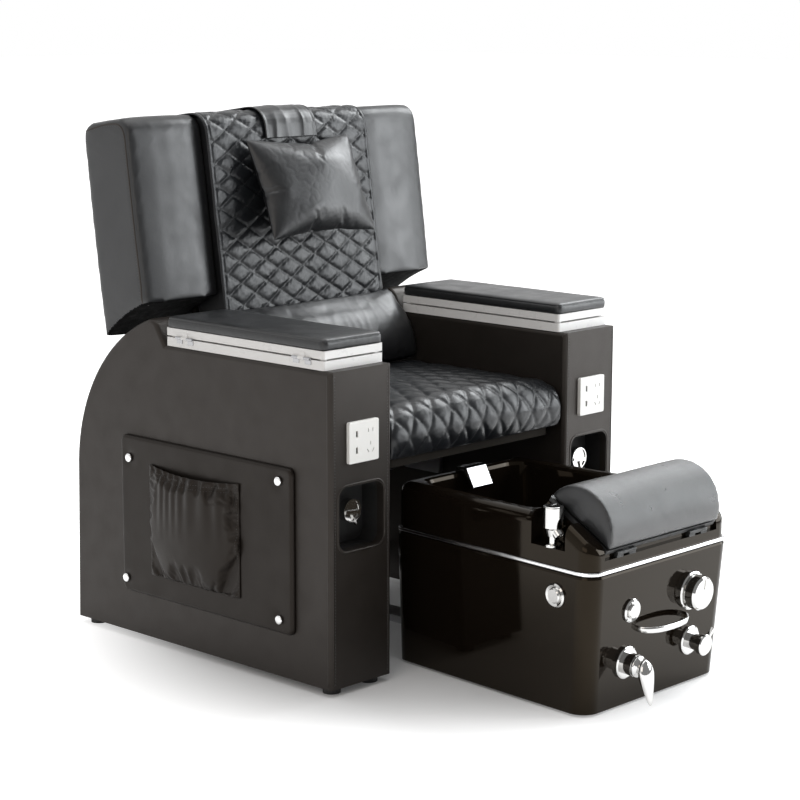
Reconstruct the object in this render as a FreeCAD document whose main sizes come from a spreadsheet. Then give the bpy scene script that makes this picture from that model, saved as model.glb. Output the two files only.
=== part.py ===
import FreeCAD, Part
import math
import os
from types import SimpleNamespace

import Sketcher

# Pedicure spa chair: two arm casings, a seat, a reclining back and a foot basin that slides in
# and out between the arms. Millimetres; X across, Y from front to back, Z up from the floor.
# Pieces are drawn from the front face of the arms and moved so that the whole is centred.

DRIVING_SIZES = [
    # Arm casings
    ("seat_width", 562, "clear width between the two arms"),
    ("arm_width", 177, "width of one arm casing"),
    ("arm_top", 678.4, "floor to the top of the casing under the armrest"),
    ("foot_height", 16, "height of the levelling feet"),
    ("foot_diameter", 38, "diameter of a levelling foot"),
    ("foot_inset", 34, "foot centre from the casing's corner"),
    ("heel_depth", 829, "arm front to the back of the casing at the floor"),
    ("shoulder_radius", 389, "radius of the round shoulder about the recline axis"),
    ("shoulder_gap", 2, "rear end of the armrest to the foot of the shoulder"),
    ("nose_reach", 37, "length of the slope from the armrest up to the shoulder"),
    ("nose_rounding", 26, "rounding where the slope meets the shoulder"),
    ("casing_wall", 18, "covered panel of the casing"),
    ("casing_rounding", 9, "rounding of the covered edges"),
    # Recline axis and back
    ("recline_y", 431, "arm front to the recline axis"),
    ("recline_z", 364, "floor to the recline axis"),
    ("back_lean", 8.1, "lean of the upright back, degrees"),
    ("back_front", 83, "recline axis to the front face of the wings"),
    ("wing_depth", 158, "thickness of a wing cushion"),
    ("wing_width", 210, "width of a wing cushion"),
    ("wing_inner", 242, "middle line to the inner face of a wing"),
    ("wing_top", 817, "recline axis to the top of the wings"),
    ("wing_gap", 32, "gap between a wing and the shoulder under it"),
    ("wing_top_rounding", 32, "rounding of the wing's upper corners"),
    ("wing_edge_rounding", 10, "rounding of the wing's covered edges"),
    ("wing_crown", 6, "how far the wing's faces swell"),
    ("cushion_front", 62, "recline axis to the front of the centre cushion"),
    ("cushion_top", 817, "recline axis to the top of the centre cushion"),
    ("cushion_rounding", 45, "rounding along the top of the centre cushion"),
    ("board_front", 170, "recline axis to the front of the back board"),
    ("board_thickness", 15, "thickness of the back board"),
    ("board_bottom", 150, "recline axis to the lower edge of the board and the rear cover"),
    ("cover_wall", 4, "wall of the back's rear cover"),
    ("plate_thickness", 6, "thickness of the back's side plates"),
    ("plate_width", 44, "width of a side plate's arms"),
    ("plate_offset", 232, "middle line to the middle of a side plate"),
    ("plate_reach", 208.5, "recline axis to the upright arm of a side plate"),
    ("plate_top", 640, "recline axis to the top of a side plate"),
    ("hub_diameter", 76, "hub of a side plate"),
    ("shaft_diameter", 30, "recline shaft"),
    ("shaft_clearance", 0.05, "radial clearance of the recline shaft in its bearings"),
    ("bracket_thickness", 10, "thickness of a pivot bracket"),
    ("bracket_size", 120, "height and depth of a pivot bracket"),
    ("boss_diameter", 54, "bearing boss of a pivot bracket"),
    ("boss_length", 16, "length of the bearing boss"),
    ("drive_width", 90, "width of the recline gear drive"),
    ("drive_diameter", 84, "gear housing around the shaft"),
    ("drive_offset", 110, "middle line to the middle of the gear drive"),
    ("motor_diameter", 58, "recline motor"),
    ("motor_length", 150, "length of the recline motor"),
    # Soft goods of the back
    ("quilt_thickness", 8, "thickness of the quilted cover"),
    ("quilt_half", 253, "half width of the quilted cover"),
    ("quilt_bottom", 388, "recline axis to the lower hem of the quilted cover"),
    ("quilt_flap", 640, "recline axis to the hem of the flap behind the back"),
    ("strap_width", 160, "width of the pillow strap"),
    ("strap_thickness", 3, "thickness of the pillow strap"),
    ("strap_front", 752, "recline axis to the strap's front end"),
    ("strap_back", 700, "recline axis to the strap's rear end"),
    ("pillow_width", 322, "width of the head pillow"),
    ("pillow_height", 236, "height of the head pillow"),
    ("pillow_thickness", 98, "thickness of the head pillow"),
    ("pillow_centre", 636, "recline axis to the middle of the pillow"),
    ("pillow_stand", 1, "recline axis to the pillow's middle plane, backwards"),
    ("pillow_tilt", 14.6, "tilt of the pillow against the back, degrees"),
    ("lumbar_gap", 4, "end of the lumbar cushion to the arm"),
    ("lumbar_front", 77, "thickness of the lumbar cushion at its foot"),
    ("lumbar_top", 384, "recline axis to the top of the lumbar cushion"),
    # Seat
    ("deck_thickness", 18, "plywood deck under the seat cushion"),
    ("deck_top", 466, "floor to the top of the deck"),
    ("deck_front", 30, "arm front to the front edge of the deck"),
    ("deck_back", 596, "arm front to the rear edge of the deck"),
    ("seat_edge_top", 566, "floor to the seat's top edge at the arms"),
    ("seat_crown", 17, "how far the seat swells in the middle"),
    ("seat_back_radius", 205, "seat's rear face about the recline axis"),
    ("seat_roll", 56, "depth of the rolled front edge"),
    ("rail_size", 30, "square tube of the seat rails"),
    ("front_rail_y", 165, "arm front to the middle of the front seat rail"),
    ("middle_rail_y", 560, "arm front to the middle of the rear seat rail"),
    ("floor_rail_y", 660, "arm front to the middle of the floor rail"),
    ("floor_rail_z", 52, "floor to the middle of the floor rail"),
    ("rear_cover_y", 797, "arm front to the cover between the arms"),
    ("rear_cover_thickness", 15, "thickness of the cover between the arms"),
    ("rear_cover_bottom", 34, "floor to the lower edge of that cover"),
    ("rear_cover_top", 350, "floor to its upper edge"),
    ("soft_gap", 0.5, "gap kept round a soft piece"),
    # Armrests
    ("armrest_width", 171, "width of an armrest"),
    ("armrest_length", 483, "length of an armrest"),
    ("armrest_front", 23, "arm front to the front of the armrest"),
    ("armrest_outer", 454, "middle line to the outer side of the armrest"),
    ("strip_height", 19.2, "height of the fixed lower strip"),
    ("tray_gap", 3.7, "gap between the two strips"),
    ("board_height", 16.7, "height of the hinged board"),
    ("pad_height", 25.6, "height of the armrest pad"),
    ("strip_rounding", 5, "rounding of the strips' corners"),
    ("hinge_length", 52, "length of an armrest hinge"),
    ("hinge_inset", 62, "hinge middle from the armrest's end"),
    ("knuckle_radius", 3.2, "radius of a hinge knuckle"),
    ("hinge_pin_radius", 1.5, "radius of a hinge pin"),
    ("hinge_play", 0.05, "radial clearance of a hinge pin"),
    ("hinge_stand", 3.4, "hinge pin outside the strip's side"),
    ("leaf_thickness", 1.6, "thickness of a hinge leaf"),
    ("leaf_height", 12, "height of a hinge leaf"),
    ("knuckle_gap", 0.3, "end gap between two knuckles"),
    ("buffer_diameter", 14, "rubber buffer under the board"),
    # Side panels with pockets
    ("side_panel_front", 104, "arm front to the side panel"),
    ("side_panel_length", 548, "length of the side panel"),
    ("side_panel_bottom", 112, "floor to the side panel"),
    ("side_panel_height", 355, "height of the side panel"),
    ("side_panel_thickness", 10, "thickness of the side panel"),
    ("side_panel_corner", 14, "corner rounding of the side panel"),
    ("side_panel_heel", 50, "rounding of its upper rear corner"),
    ("screw_cap_diameter", 20, "mirror cap of a side panel screw"),
    ("screw_cap_height", 5, "height of the mirror cap"),
    ("screw_shank", 6, "shank diameter of a side panel screw"),
    ("screw_inset_low", 30, "screw from the lower edge"),
    ("screw_inset_high", 30, "front upper screw from the upper edge"),
    ("screw_inset_end", 39, "front screws from the panel's front edge"),
    ("screw_inset_rear", 14, "lower rear screw from the panel's rear edge"),
    ("screw_drop", 50, "upper rear screw below the upper edge"),
    ("screw_heel", 30, "upper rear screw from the panel's rear edge"),
    ("pocket_front", 261, "arm front to the pocket"),
    ("pocket_width", 288, "width of the pocket"),
    ("pocket_bottom", 165, "floor to the pocket's bottom"),
    ("pocket_height", 249, "height of the pocket"),
    ("pocket_bulge", 17, "how far the pocket stands off its panel"),
    ("pocket_skin", 2.5, "thickness of the pocket's leather"),
    # Front of the arms
    ("socket_size", 86, "standard wall-socket plate"),
    ("socket_thickness", 8, "thickness of the socket plate"),
    ("socket_z", 528, "floor to the middle of the socket plate"),
    ("socket_box", 60, "width and height of the back box"),
    ("socket_box_depth", 42, "depth of the back box behind the arm front"),
    ("recess_width", 128, "width of the recess in the arm front"),
    ("recess_height", 133, "height of the recess"),
    ("recess_z", 370.5, "floor to the middle of the recess"),
    ("recess_corner", 22, "corner rounding of the recess"),
    ("recess_depth", 62, "depth of the recess from the arm front"),
    ("recess_wall", 3, "wall of the recess cup"),
    ("knob_diameter", 49, "recess knob"),
    ("knob_length", 36, "recess knob from the cup's back wall"),
    ("knob_z", 377, "floor to the recess knob's axis"),
    ("knob_stem", 12, "stem of the recess knob"),
    # Foot basin
    ("tub_shift", 20, "how far the basin stands off the chair's middle line"),
    ("tub_reach", 480, "arm front to the basin's front at the trim"),
    ("tub_back", 92, "arm front to the basin's rear"),
    ("tub_half_front", 238, "half width at the trim, front"),
    ("tub_half_back", 200, "half width at the trim, rear"),
    ("tub_corner", 38, "rounding of the front corners"),
    ("tub_rear_corner", 30, "rounding of the rear corners"),
    ("tub_draft", 20, "how far the front leans in at the floor"),
    ("tub_side_draft", 12, "how far the sides lean in at the floor"),
    ("skirt_bottom", 5, "floor to the skirt"),
    ("skirt_wall", 9, "wall of the skirt"),
    ("trim_z", 295, "floor to the trim band"),
    ("trim_height", 7.5, "height of the trim band"),
    ("trim_width", 16, "width of the trim band"),
    ("basin_inset", 6, "basin wall inside the trim's edge"),
    ("rim_z", 400, "floor to the basin's rim"),
    ("rim_width", 40, "width of the side rims"),
    ("rim_rounding", 22, "rounding of the rim's outer edge"),
    ("rim_back_width", 44, "width of the rear rim"),
    ("ledge_depth", 175, "basin's front to the cavity's front wall"),
    ("cavity_floor", 138, "floor to the cavity's floor"),
    ("cavity_corner", 42, "corner rounding of the cavity"),
    ("cavity_draft", 26, "how far the cavity narrows to its floor"),
    ("basin_wall", 6, "wall of the bowl"),
    ("saddle_top", 431, "floor to the corner over the footrest saddle"),
    ("cheek_length", 146, "basin's front to the saddle's top edge"),
    ("cheek_top", 349, "floor to the cheek's front corner"),
    ("cheek_rounding", 36, "rounding of the cheek's front corner"),
    ("ledge_z", 322, "floor to the ledge in front of the footrest"),
    ("faucet_pocket_near", 75, "basin's front to the faucet pocket"),
    ("faucet_pocket_length", 93, "length of the faucet pocket"),
    ("faucet_pocket_floor", 337, "floor to the faucet pocket"),
    ("base_board_z", 40, "floor to the base board"),
    ("base_board_thickness", 12, "thickness of the base board"),
    ("glide_diameter", 40, "nylon glides under the basin"),
    ("glide_inset", 50, "glides inside the basin's rear corner"),
    ("guide_width", 60, "width of the guide rail on the floor"),
    ("guide_height", 16, "height of the guide rail"),
    ("guide_play", 0.5, "side clearance of the guide rail"),
    ("guide_front", -140, "arm front to the guide rail's front end"),
    # Footrest
    ("footrest_length", 370, "length of the footrest pad"),
    ("footrest_tilt", 31, "slope of the footrest's flat side, degrees"),
    ("footrest_inset", 6, "basin's front to the footrest's hinge axis"),
    ("footrest_z", 331, "floor to the footrest's hinge axis"),
    ("footrest_chord", 180, "depth of the pad's flat side"),
    ("footrest_rise", 74, "height of the pad over its board"),
    ("footrest_board", 10, "thickness of the footrest's board"),
    ("footrest_side_gap", 2, "gap between the pad and the cheeks"),
    ("footrest_knuckle", 4, "radius of the footrest hinge knuckles"),
    ("footrest_hinge_length", 60, "length of a footrest hinge"),
    ("footrest_hinge_offset", 120, "footrest hinge from the middle of the pad"),
    # Faucet, spout and drain
    ("faucet_x", -209, "basin's middle line to the faucet"),
    ("faucet_depth", 121, "basin's front to the faucet"),
    ("faucet_neck", 18, "diameter of the faucet's neck"),
    ("faucet_base", 36, "diameter of the faucet's base flange"),
    ("faucet_base_height", 5, "height of that flange"),
    ("faucet_neck_top", 368, "floor to the top of the neck"),
    ("faucet_head", 42, "diameter of the faucet head"),
    ("faucet_head_top", 420, "floor to the top of the faucet head"),
    ("spout_width", 62, "width of the waterfall spout"),
    ("spout_rise", 13, "spout above the rim"),
    ("spout_drop", 33, "spout's lip below the rim"),
    ("strainer_diameter", 72, "drain strainer"),
    ("jet_z", 232, "floor to the jet's axis"),
    ("jet_diameter", 84, "jet cap"),
    ("jet_bore", 60, "bore in the cavity wall for the jet"),
    ("jet_cap_depth", 16, "depth of the jet cap"),
    ("impeller_diameter", 50, "jet impeller"),
    ("jet_motor_length", 74, "jet motor behind the wall"),
    # Controls on the front of the basin
    ("air_bezel", 50, "bezel of an air button"),
    ("air_button", 31, "cap of an air button"),
    ("air_travel", 4, "travel of an air button"),
    ("air_barrel", 36, "barrel of an air button through the wall"),
    ("air_front_x", -99, "basin's middle line to the front air button"),
    ("air_front_z", 204.5, "floor to the front air button"),
    ("air_side_depth", 94, "basin's front to the side air button"),
    ("air_side_z", 245, "floor to the side air button"),
    ("diverter_x", 100, "basin's middle line to the diverter"),
    ("diverter_z", 208, "floor to the diverter"),
    ("diverter_collar", 82, "collar of the diverter"),
    ("diverter_knob", 72, "knob of the diverter"),
    ("diverter_reach", 36, "diverter knob's face from the wall"),
    ("handle_width", 156, "width of the bow handle"),
    ("handle_reach", 38, "bow handle's reach from the wall"),
    ("handle_band", 13, "height of the handle's band"),
    ("handle_thickness", 4.5, "thickness of the handle's band"),
    ("handle_x", 4, "basin's middle line to the bow handle"),
    ("handle_z", 160, "floor to the bow handle"),
    ("valve_barrel", 30, "barrel of a valve through the wall"),
    ("valve_stem", 12, "turning stem of a valve"),
    ("drain_x", 110, "basin's middle line to the drain valve"),
    ("drain_z", 97, "floor to the drain valve"),
    ("drain_flange", 62, "flange of the drain valve"),
    ("drain_neck", 34, "neck of the drain valve"),
    ("drain_disc", 45, "turning disc of the drain valve"),
    ("drain_reach", 45, "drain valve's face from the wall"),
    ("drain_lever", 27, "length of the drain valve's lever pin"),
    ("mixer_x", -107, "basin's middle line to the mixer"),
    ("mixer_z", 97, "floor to the mixer"),
    ("mixer_flange", 68, "flange of the mixer"),
    ("mixer_neck", 46, "neck of the mixer"),
    ("mixer_reach", 30, "mixer's neck from the wall"),
    ("mixer_lever", 76, "length of the mixer's teardrop lever"),
]

FOOT_SIDES = (-1, 1)
STEM_FIT = 0.1          # radial clearance of a turning stem in its seat
SMALL_OVERCUT = 1.0     # how far a cut runs past the face that it opens
SPLIT_GAP = 0.3         # running gap between two pieces that slide on each other

doc = FreeCAD.newDocument("pedicure_spa_chair")
sheet = doc.addObject("Spreadsheet::Sheet", "Sizes")
nodes = []


class Size:
    """A length that carries its value and the spreadsheet expression that gives it."""

    def __init__(self, value, text):
        self.value = float(value)
        self.text = text

    def __float__(self):
        return self.value

    def join(self, sign, other, value):
        return Size(value, "(%s %s %s)" % (self.text, sign, other.text))

    def __add__(self, other):
        other = as_size(other)
        return self.join("+", other, self.value + other.value)

    def __radd__(self, other):
        return as_size(other) + self

    def __sub__(self, other):
        other = as_size(other)
        return self.join("-", other, self.value - other.value)

    def __rsub__(self, other):
        return as_size(other) - self

    def __mul__(self, other):
        other = as_size(other)
        return self.join("*", other, self.value * other.value)

    def __rmul__(self, other):
        return as_size(other) * self

    def __truediv__(self, other):
        other = as_size(other)
        return self.join("/", other, self.value / other.value)

    def __rtruediv__(self, other):
        return as_size(other) / self

    def __neg__(self):
        return Size(-self.value, "(0 - %s)" % self.text)


def as_size(number):
    """A plain number as a Size; a Size stays as it is."""
    if isinstance(number, Size):
        return number
    return Size(number, "%r" % float(number))


def root(size):
    size = as_size(size)
    return Size(math.sqrt(size.value), "sqrt(%s)" % size.text)


def sine(angle):
    return Size(math.sin(math.radians(float(angle))), "sin(%s * 1 deg)" % as_size(angle).text)


def cosine(angle):
    return Size(math.cos(math.radians(float(angle))), "cos(%s * 1 deg)" % as_size(angle).text)


def angle_of(rise, run):
    """Angle in degrees whose tangent is rise over run."""
    ratio = as_size(rise) / run
    return Size(math.degrees(math.atan(ratio.value)), "(atan(%s) / 1 deg)" % ratio.text)


def read_sizes():
    """Writes the driving dimensions into the spreadsheet and returns them by name."""
    sizes = {}
    for row, (alias, value, meaning) in enumerate(DRIVING_SIZES, start=1):
        sheet.set("A%d" % row, meaning)
        sheet.set("B%d" % row, str(value))
        sheet.setAlias("B%d" % row, alias)
    doc.recompute()
    for alias, _, _ in DRIVING_SIZES:
        sizes[alias] = Size(sheet.get(alias), "Sizes.%s" % alias)
    return SimpleNamespace(**sizes)


s = read_sizes()

# Places that several pieces share, worked out from the driving dimensions.
ARM_MIDDLE = (s.seat_width + s.arm_width) / 2
ARM_OUTER = s.seat_width / 2 + s.arm_width
SHOULDER_START = s.armrest_front + s.armrest_length + s.shoulder_gap
CAVITY_FRONT = s.tub_reach - s.ledge_depth
SADDLE_BACK = s.tub_reach - s.cheek_length
FOOTREST_Y = s.footrest_inset - s.tub_reach
FAUCET_POCKET_FRONT = s.tub_reach - s.faucet_pocket_near
FAUCET_Y = s.faucet_depth - s.tub_reach
AIR_SIDE_Y = s.air_side_depth - s.tub_reach
LEAN = s.back_lean
FRONT_LEAN = angle_of(s.tub_draft, s.trim_z - s.skirt_bottom)


def front_wall_y(level):
    """Y of the basin skirt's front face at a height."""
    return -(s.tub_reach - s.tub_draft * (s.trim_z - level) / (s.trim_z - s.skirt_bottom))


MIXER_TIP = s.mixer_reach + 40
FRONT_REACH = MIXER_TIP * cosine(FRONT_LEAN) - (s.mixer_lever - 10.3) * sine(FRONT_LEAN) \
    - front_wall_y(s.mixer_z)
CENTRE_Y = (FRONT_REACH - s.heel_depth) / 2


def bind(thing, prop, size):
    """Binds one property of an object to the spreadsheet."""
    thing.setExpression(prop, as_size(size).text)


def vector(x, y, z=0):
    return FreeCAD.Vector(float(x), float(y), float(z))


def place(thing, x=0, y=0, z=0, axis=None, angle=None):
    """Puts a piece at its place; Y counts from the front face of the arms."""
    rotation = FreeCAD.Rotation()
    if axis is not None:
        rotation = FreeCAD.Rotation(FreeCAD.Vector(*axis), float(angle))
    thing.Placement = FreeCAD.Placement(vector(x, CENTRE_Y + y, z), rotation)
    bind(thing, "Placement.Base.x", x)
    bind(thing, "Placement.Base.y", CENTRE_Y + y)
    bind(thing, "Placement.Base.z", z)
    if axis is not None:
        bind(thing, "Placement.Rotation.Angle", angle)
    return thing


def on_back(thing):
    """Puts a piece drawn from the recline axis onto the leaning back."""
    return place(thing, 0, s.recline_y, s.recline_z, (-1, 0, 0), LEAN)


def on_front_wall(thing, x, z):
    """Puts a control drawn along -Y onto the leaning front wall of the basin."""
    return place(thing, s.tub_shift + x, front_wall_y(z), z, (1, 0, 0), FRONT_LEAN)


def keep(thing, label):
    """Registers a finished piece under the name of its file."""
    thing.Label = label
    nodes.append(thing)
    return thing


def body(name):
    return doc.addObject("PartDesign::Body", name)


def sketch_on(owner, role, offset=0):
    """A sketch on one of the body's own origin planes, moved along its normal."""
    sketch = owner.newObject("Sketcher::SketchObject", owner.Name + "_sketch")
    plane = next(item for item in owner.Origin.OriginFeatures if item.Role == role)
    sketch.AttachmentSupport = [(plane, "")]
    sketch.MapMode = "FlatFace"
    if not isinstance(offset, (int, float)) or offset != 0:
        sketch.AttachmentOffset = FreeCAD.Placement(vector(0, 0, offset), FreeCAD.Rotation())
        bind(sketch, "AttachmentOffset.Base.z", offset)
    return sketch


def fix(sketch, kind, geometry, point, size):
    """Fixes one coordinate of a sketch point, measured from the sketch's origin."""
    index = sketch.addConstraint(Sketcher.Constraint(kind, -1, 1, geometry, point, float(size)))
    bind(sketch, "Constraints[%d]" % index, size)


def corner(x, y, rounding=None, centre=None, free=""):
    """A corner of an outline; centre makes the next edge an arc, free leaves x or y to it."""
    return SimpleNamespace(x=as_size(x), y=as_size(y), rounding=rounding, centre=centre, free=free)


def fix_corner(sketch, geometry, point, item):
    if item.free != "x":
        fix(sketch, "DistanceX", geometry, point, item.x)
    if item.free != "y":
        fix(sketch, "DistanceY", geometry, point, item.y)


def tangent_points(before, here, after, radius):
    """Where a rounding leaves the two lines of a corner, and the rounding's centre."""
    back = (before - here).normalize()
    ahead = (after - here).normalize()
    half = math.acos(max(-1, min(1, back.dot(ahead)))) / 2
    reach = radius / math.tan(half)
    middle = (back + ahead).normalize() * (radius / math.sin(half))
    return here + back * reach, here + ahead * reach, here + middle


def add_arc(sketch, centre, start, end):
    """Adds the shorter arc from start to end; returns it with its two end numbers."""
    radius = (start - centre).Length
    first = math.atan2(start.y - centre.y, start.x - centre.x)
    last = math.atan2(end.y - centre.y, end.x - centre.x)
    forward = (last - first) % (2 * math.pi) < math.pi
    circle = Part.Circle(centre, FreeCAD.Vector(0, 0, 1), radius)
    if forward:
        return sketch.addGeometry(Part.ArcOfCircle(circle, first, last), False), 1, 2
    return sketch.addGeometry(Part.ArcOfCircle(circle, last, first), False), 2, 1


def outline(sketch, corners):
    """A closed outline of lines and arcs, held by its corners and roundings."""
    count = len(corners)
    spots = [vector(item.x, item.y) for item in corners]
    leave = list(spots)
    arrive = list(spots)
    centres = {}
    for i, item in enumerate(corners):
        if item.rounding is not None:
            arrive[i], leave[i], centres[i] = tangent_points(
                spots[i - 1], spots[i], spots[(i + 1) % count], float(item.rounding))
    edges = []
    for i, item in enumerate(corners):
        start, end = leave[i], arrive[(i + 1) % count]
        if item.centre is None:
            line = sketch.addGeometry(Part.LineSegment(start, end), False)
            edges.append((line, 1, 2))
        else:
            edges.append(add_arc(sketch, vector(*item.centre), start, end))
            fix(sketch, "DistanceX", edges[-1][0], 3, item.centre[0])
            fix(sketch, "DistanceY", edges[-1][0], 3, item.centre[1])
    for i, item in enumerate(corners):
        before, here = edges[i - 1], edges[i]
        if item.rounding is None:
            sketch.addConstraint(
                Sketcher.Constraint("Coincident", before[0], before[2], here[0], here[1]))
            fix_corner(sketch, here[0], here[1], item)
            continue
        rounding, first, last = add_arc(sketch, centres[i], arrive[i], leave[i])
        mark = sketch.addGeometry(Part.Point(spots[i]), True)
        fix_corner(sketch, mark, 1, item)
        for edge in (before[0], here[0]):
            sketch.addConstraint(Sketcher.Constraint("PointOnObject", mark, 1, edge))
        sketch.addConstraint(
            Sketcher.Constraint("Tangent", before[0], before[2], rounding, first))
        sketch.addConstraint(Sketcher.Constraint("Tangent", rounding, last, here[0], here[1]))
        index = sketch.addConstraint(
            Sketcher.Constraint("Radius", rounding, float(item.rounding)))
        bind(sketch, "Constraints[%d]" % index, item.rounding)
    return sketch


def rectangle(sketch, left, right, low, high, rounding=None):
    return outline(sketch, [
        corner(left, low, rounding),
        corner(right, low, rounding),
        corner(right, high, rounding),
        corner(left, high, rounding),
    ])


def circle(sketch, x, y, diameter):
    """A circle bound by its centre and diameter."""
    shape = Part.Circle(vector(x, y), FreeCAD.Vector(0, 0, 1), float(diameter) / 2)
    index = sketch.addGeometry(shape, False)
    fix(sketch, "DistanceX", index, 3, x)
    fix(sketch, "DistanceY", index, 3, y)
    size = sketch.addConstraint(Sketcher.Constraint("Diameter", index, float(diameter)))
    bind(sketch, "Constraints[%d]" % size, diameter)
    return sketch


def extrude(kind, owner, sketch, length, side="One side", reverse=False):
    """A Pad or a Pocket of a sketch."""
    feature = owner.newObject("PartDesign::" + kind, owner.Name + "_" + kind.lower())
    feature.Profile = sketch
    feature.SideType = side
    feature.Reversed = reverse
    feature.Length = float(length)
    bind(feature, "Length", length)
    sketch.Visibility = False
    return feature


def pad(owner, sketch, length, side="One side", reverse=False):
    return extrude("Pad", owner, sketch, length, side, reverse)


def pocket(owner, sketch, length, side="One side", reverse=False):
    return extrude("Pocket", owner, sketch, length, side, reverse)


def turn(kind, owner, sketch, axis="V_Axis"):
    """A Revolution or a Groove of a sketch about one of its own axes."""
    feature = owner.newObject("PartDesign::" + kind, owner.Name + "_" + kind.lower())
    feature.Profile = sketch
    feature.ReferenceAxis = (sketch, [axis])
    feature.Angle = 360
    return feature


def loft(kind, owner, sketches):
    """An AdditiveLoft or a SubtractiveLoft through sketches, with straight sides."""
    feature = owner.newObject("PartDesign::" + kind, owner.Name + "_loft")
    feature.Profile = sketches[0]
    feature.Sections = sketches[1:]
    feature.Ruled = True
    return feature


def pattern(owner, feature, axis_role, count, turn_by=360):
    """Repeats a feature about one of the body's own axes."""
    ring = owner.newObject("PartDesign::PolarPattern", owner.Name + "_ring")
    ring.Originals = [feature]
    line = next(item for item in owner.Origin.OriginFeatures if item.Role == axis_role)
    ring.Axis = (line, [""])
    ring.Angle = turn_by
    ring.Occurrences = count
    owner.Tip = ring
    return ring


def round_edges(owner, feature, radius, wanted):
    """Rounds the edges of a feature that a test picks out."""
    doc.recompute()
    names = []
    for number, edge in enumerate(feature.Shape.Edges, start=1):
        if wanted(edge):
            names.append("Edge%d" % number)
    fillet = owner.newObject("PartDesign::Fillet", owner.Name + "_fillet")
    fillet.Base = (feature, names)
    fillet.Radius = float(radius)
    bind(fillet, "Radius", radius)
    return fillet


def near(first, second, tolerance=0.01):
    return abs(float(first) - float(second)) < tolerance


def flat_in(edge, axis, level, tolerance=0.01):
    """True where a whole edge lies at one X, Y or Z."""
    box = edge.BoundBox
    low = getattr(box, axis + "Min")
    high = getattr(box, axis + "Max")
    return near(low, level, tolerance) and near(high, level, tolerance)


def part_box(name, x, y, z, width, depth, height):
    """A Part box by its low corner, Y counted from the arm front."""
    box = doc.addObject("Part::Box", name)
    for prop, size in (("Length", width), ("Width", depth), ("Height", height)):
        bind(box, prop, size)
    place(box, x, y, z)
    return box


def part_cylinder(name, x, y, z, diameter, height, axis=None, angle=None):
    cylinder = doc.addObject("Part::Cylinder", name)
    bind(cylinder, "Radius", as_size(diameter) / 2)
    bind(cylinder, "Height", height)
    place(cylinder, x, y, z, axis, angle)
    return cylinder


def group(name, pieces):
    """Separate solids of one kind that share a node."""
    bundle = doc.addObject("Part::Compound", name)
    bundle.Links = pieces
    return bundle


def soft_shape(name, shape, x=0, y=0, z=0, axis=None, angle=0):
    """A soft piece whose lofted shape is set by its own function."""
    piece = doc.addObject("Part::Feature", name)
    piece.Shape = shape
    rotation = FreeCAD.Rotation()
    if axis is not None:
        rotation = FreeCAD.Rotation(FreeCAD.Vector(*axis), float(angle))
    piece.Placement = FreeCAD.Placement(vector(x, CENTRE_Y + y, z), rotation)
    return piece


def arc_edge(start, middle, end):
    return Part.Arc(start, middle, end).toShape()


def line_edge(start, end):
    return Part.LineSegment(start, end).toShape()


def loft_shape(wires):
    """A closed solid through wires of like edges, straight from each to the next."""
    shape = Part.makeLoft(wires, True, True)
    if shape.Volume < 0:
        shape.reverse()
    return shape


def drawn_in(half, rounding, between=()):
    """Places from -half to half with the inset that rounds a cushion's two ends."""
    stations = []
    for step in (0, 0.3, 0.75, 1.3, 2.0):
        share = min(1, step / 2.0)
        inset = rounding * (1 - math.sqrt(1 - (1 - share) ** 2))
        stations.append((half - rounding * step / 2.0, inset))
    near_side = [(-place_on, inset) for place_on, inset in stations]
    middle = [(half * share, 0.0) for share in between]
    return near_side + middle + stations[::-1]


# Arm casings and what is fixed to them

def casing_corners(inset):
    """Side outline of a casing; the inset draws the hollow inside its panels."""
    radius = s.shoulder_radius - inset
    nose_y = SHOULDER_START + s.nose_reach + inset
    reach = nose_y - s.recline_y
    nose_z = s.recline_z + root(radius * radius - reach * reach)
    return [
        corner(inset, s.foot_height + inset),
        corner(inset, s.arm_top - inset),
        corner(SHOULDER_START + inset / 2, s.arm_top - inset),
        corner(nose_y, nose_z, centre=(s.recline_y, s.recline_z), free="y"),
        corner(s.recline_y + radius, s.recline_z),
        corner(s.heel_depth - inset, s.foot_height + inset),
    ]


def screw_spots():
    """Y and Z of the four screws of a side panel."""
    front = s.side_panel_front + s.screw_inset_end
    rear = s.side_panel_front + s.side_panel_length
    low = s.side_panel_bottom + s.screw_inset_low
    top = s.side_panel_bottom + s.side_panel_height
    return [
        (front, low),
        (front, top - s.screw_inset_high),
        (rear - s.screw_inset_rear, low),
        (rear - s.screw_heel, top - s.screw_drop),
    ]


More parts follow.
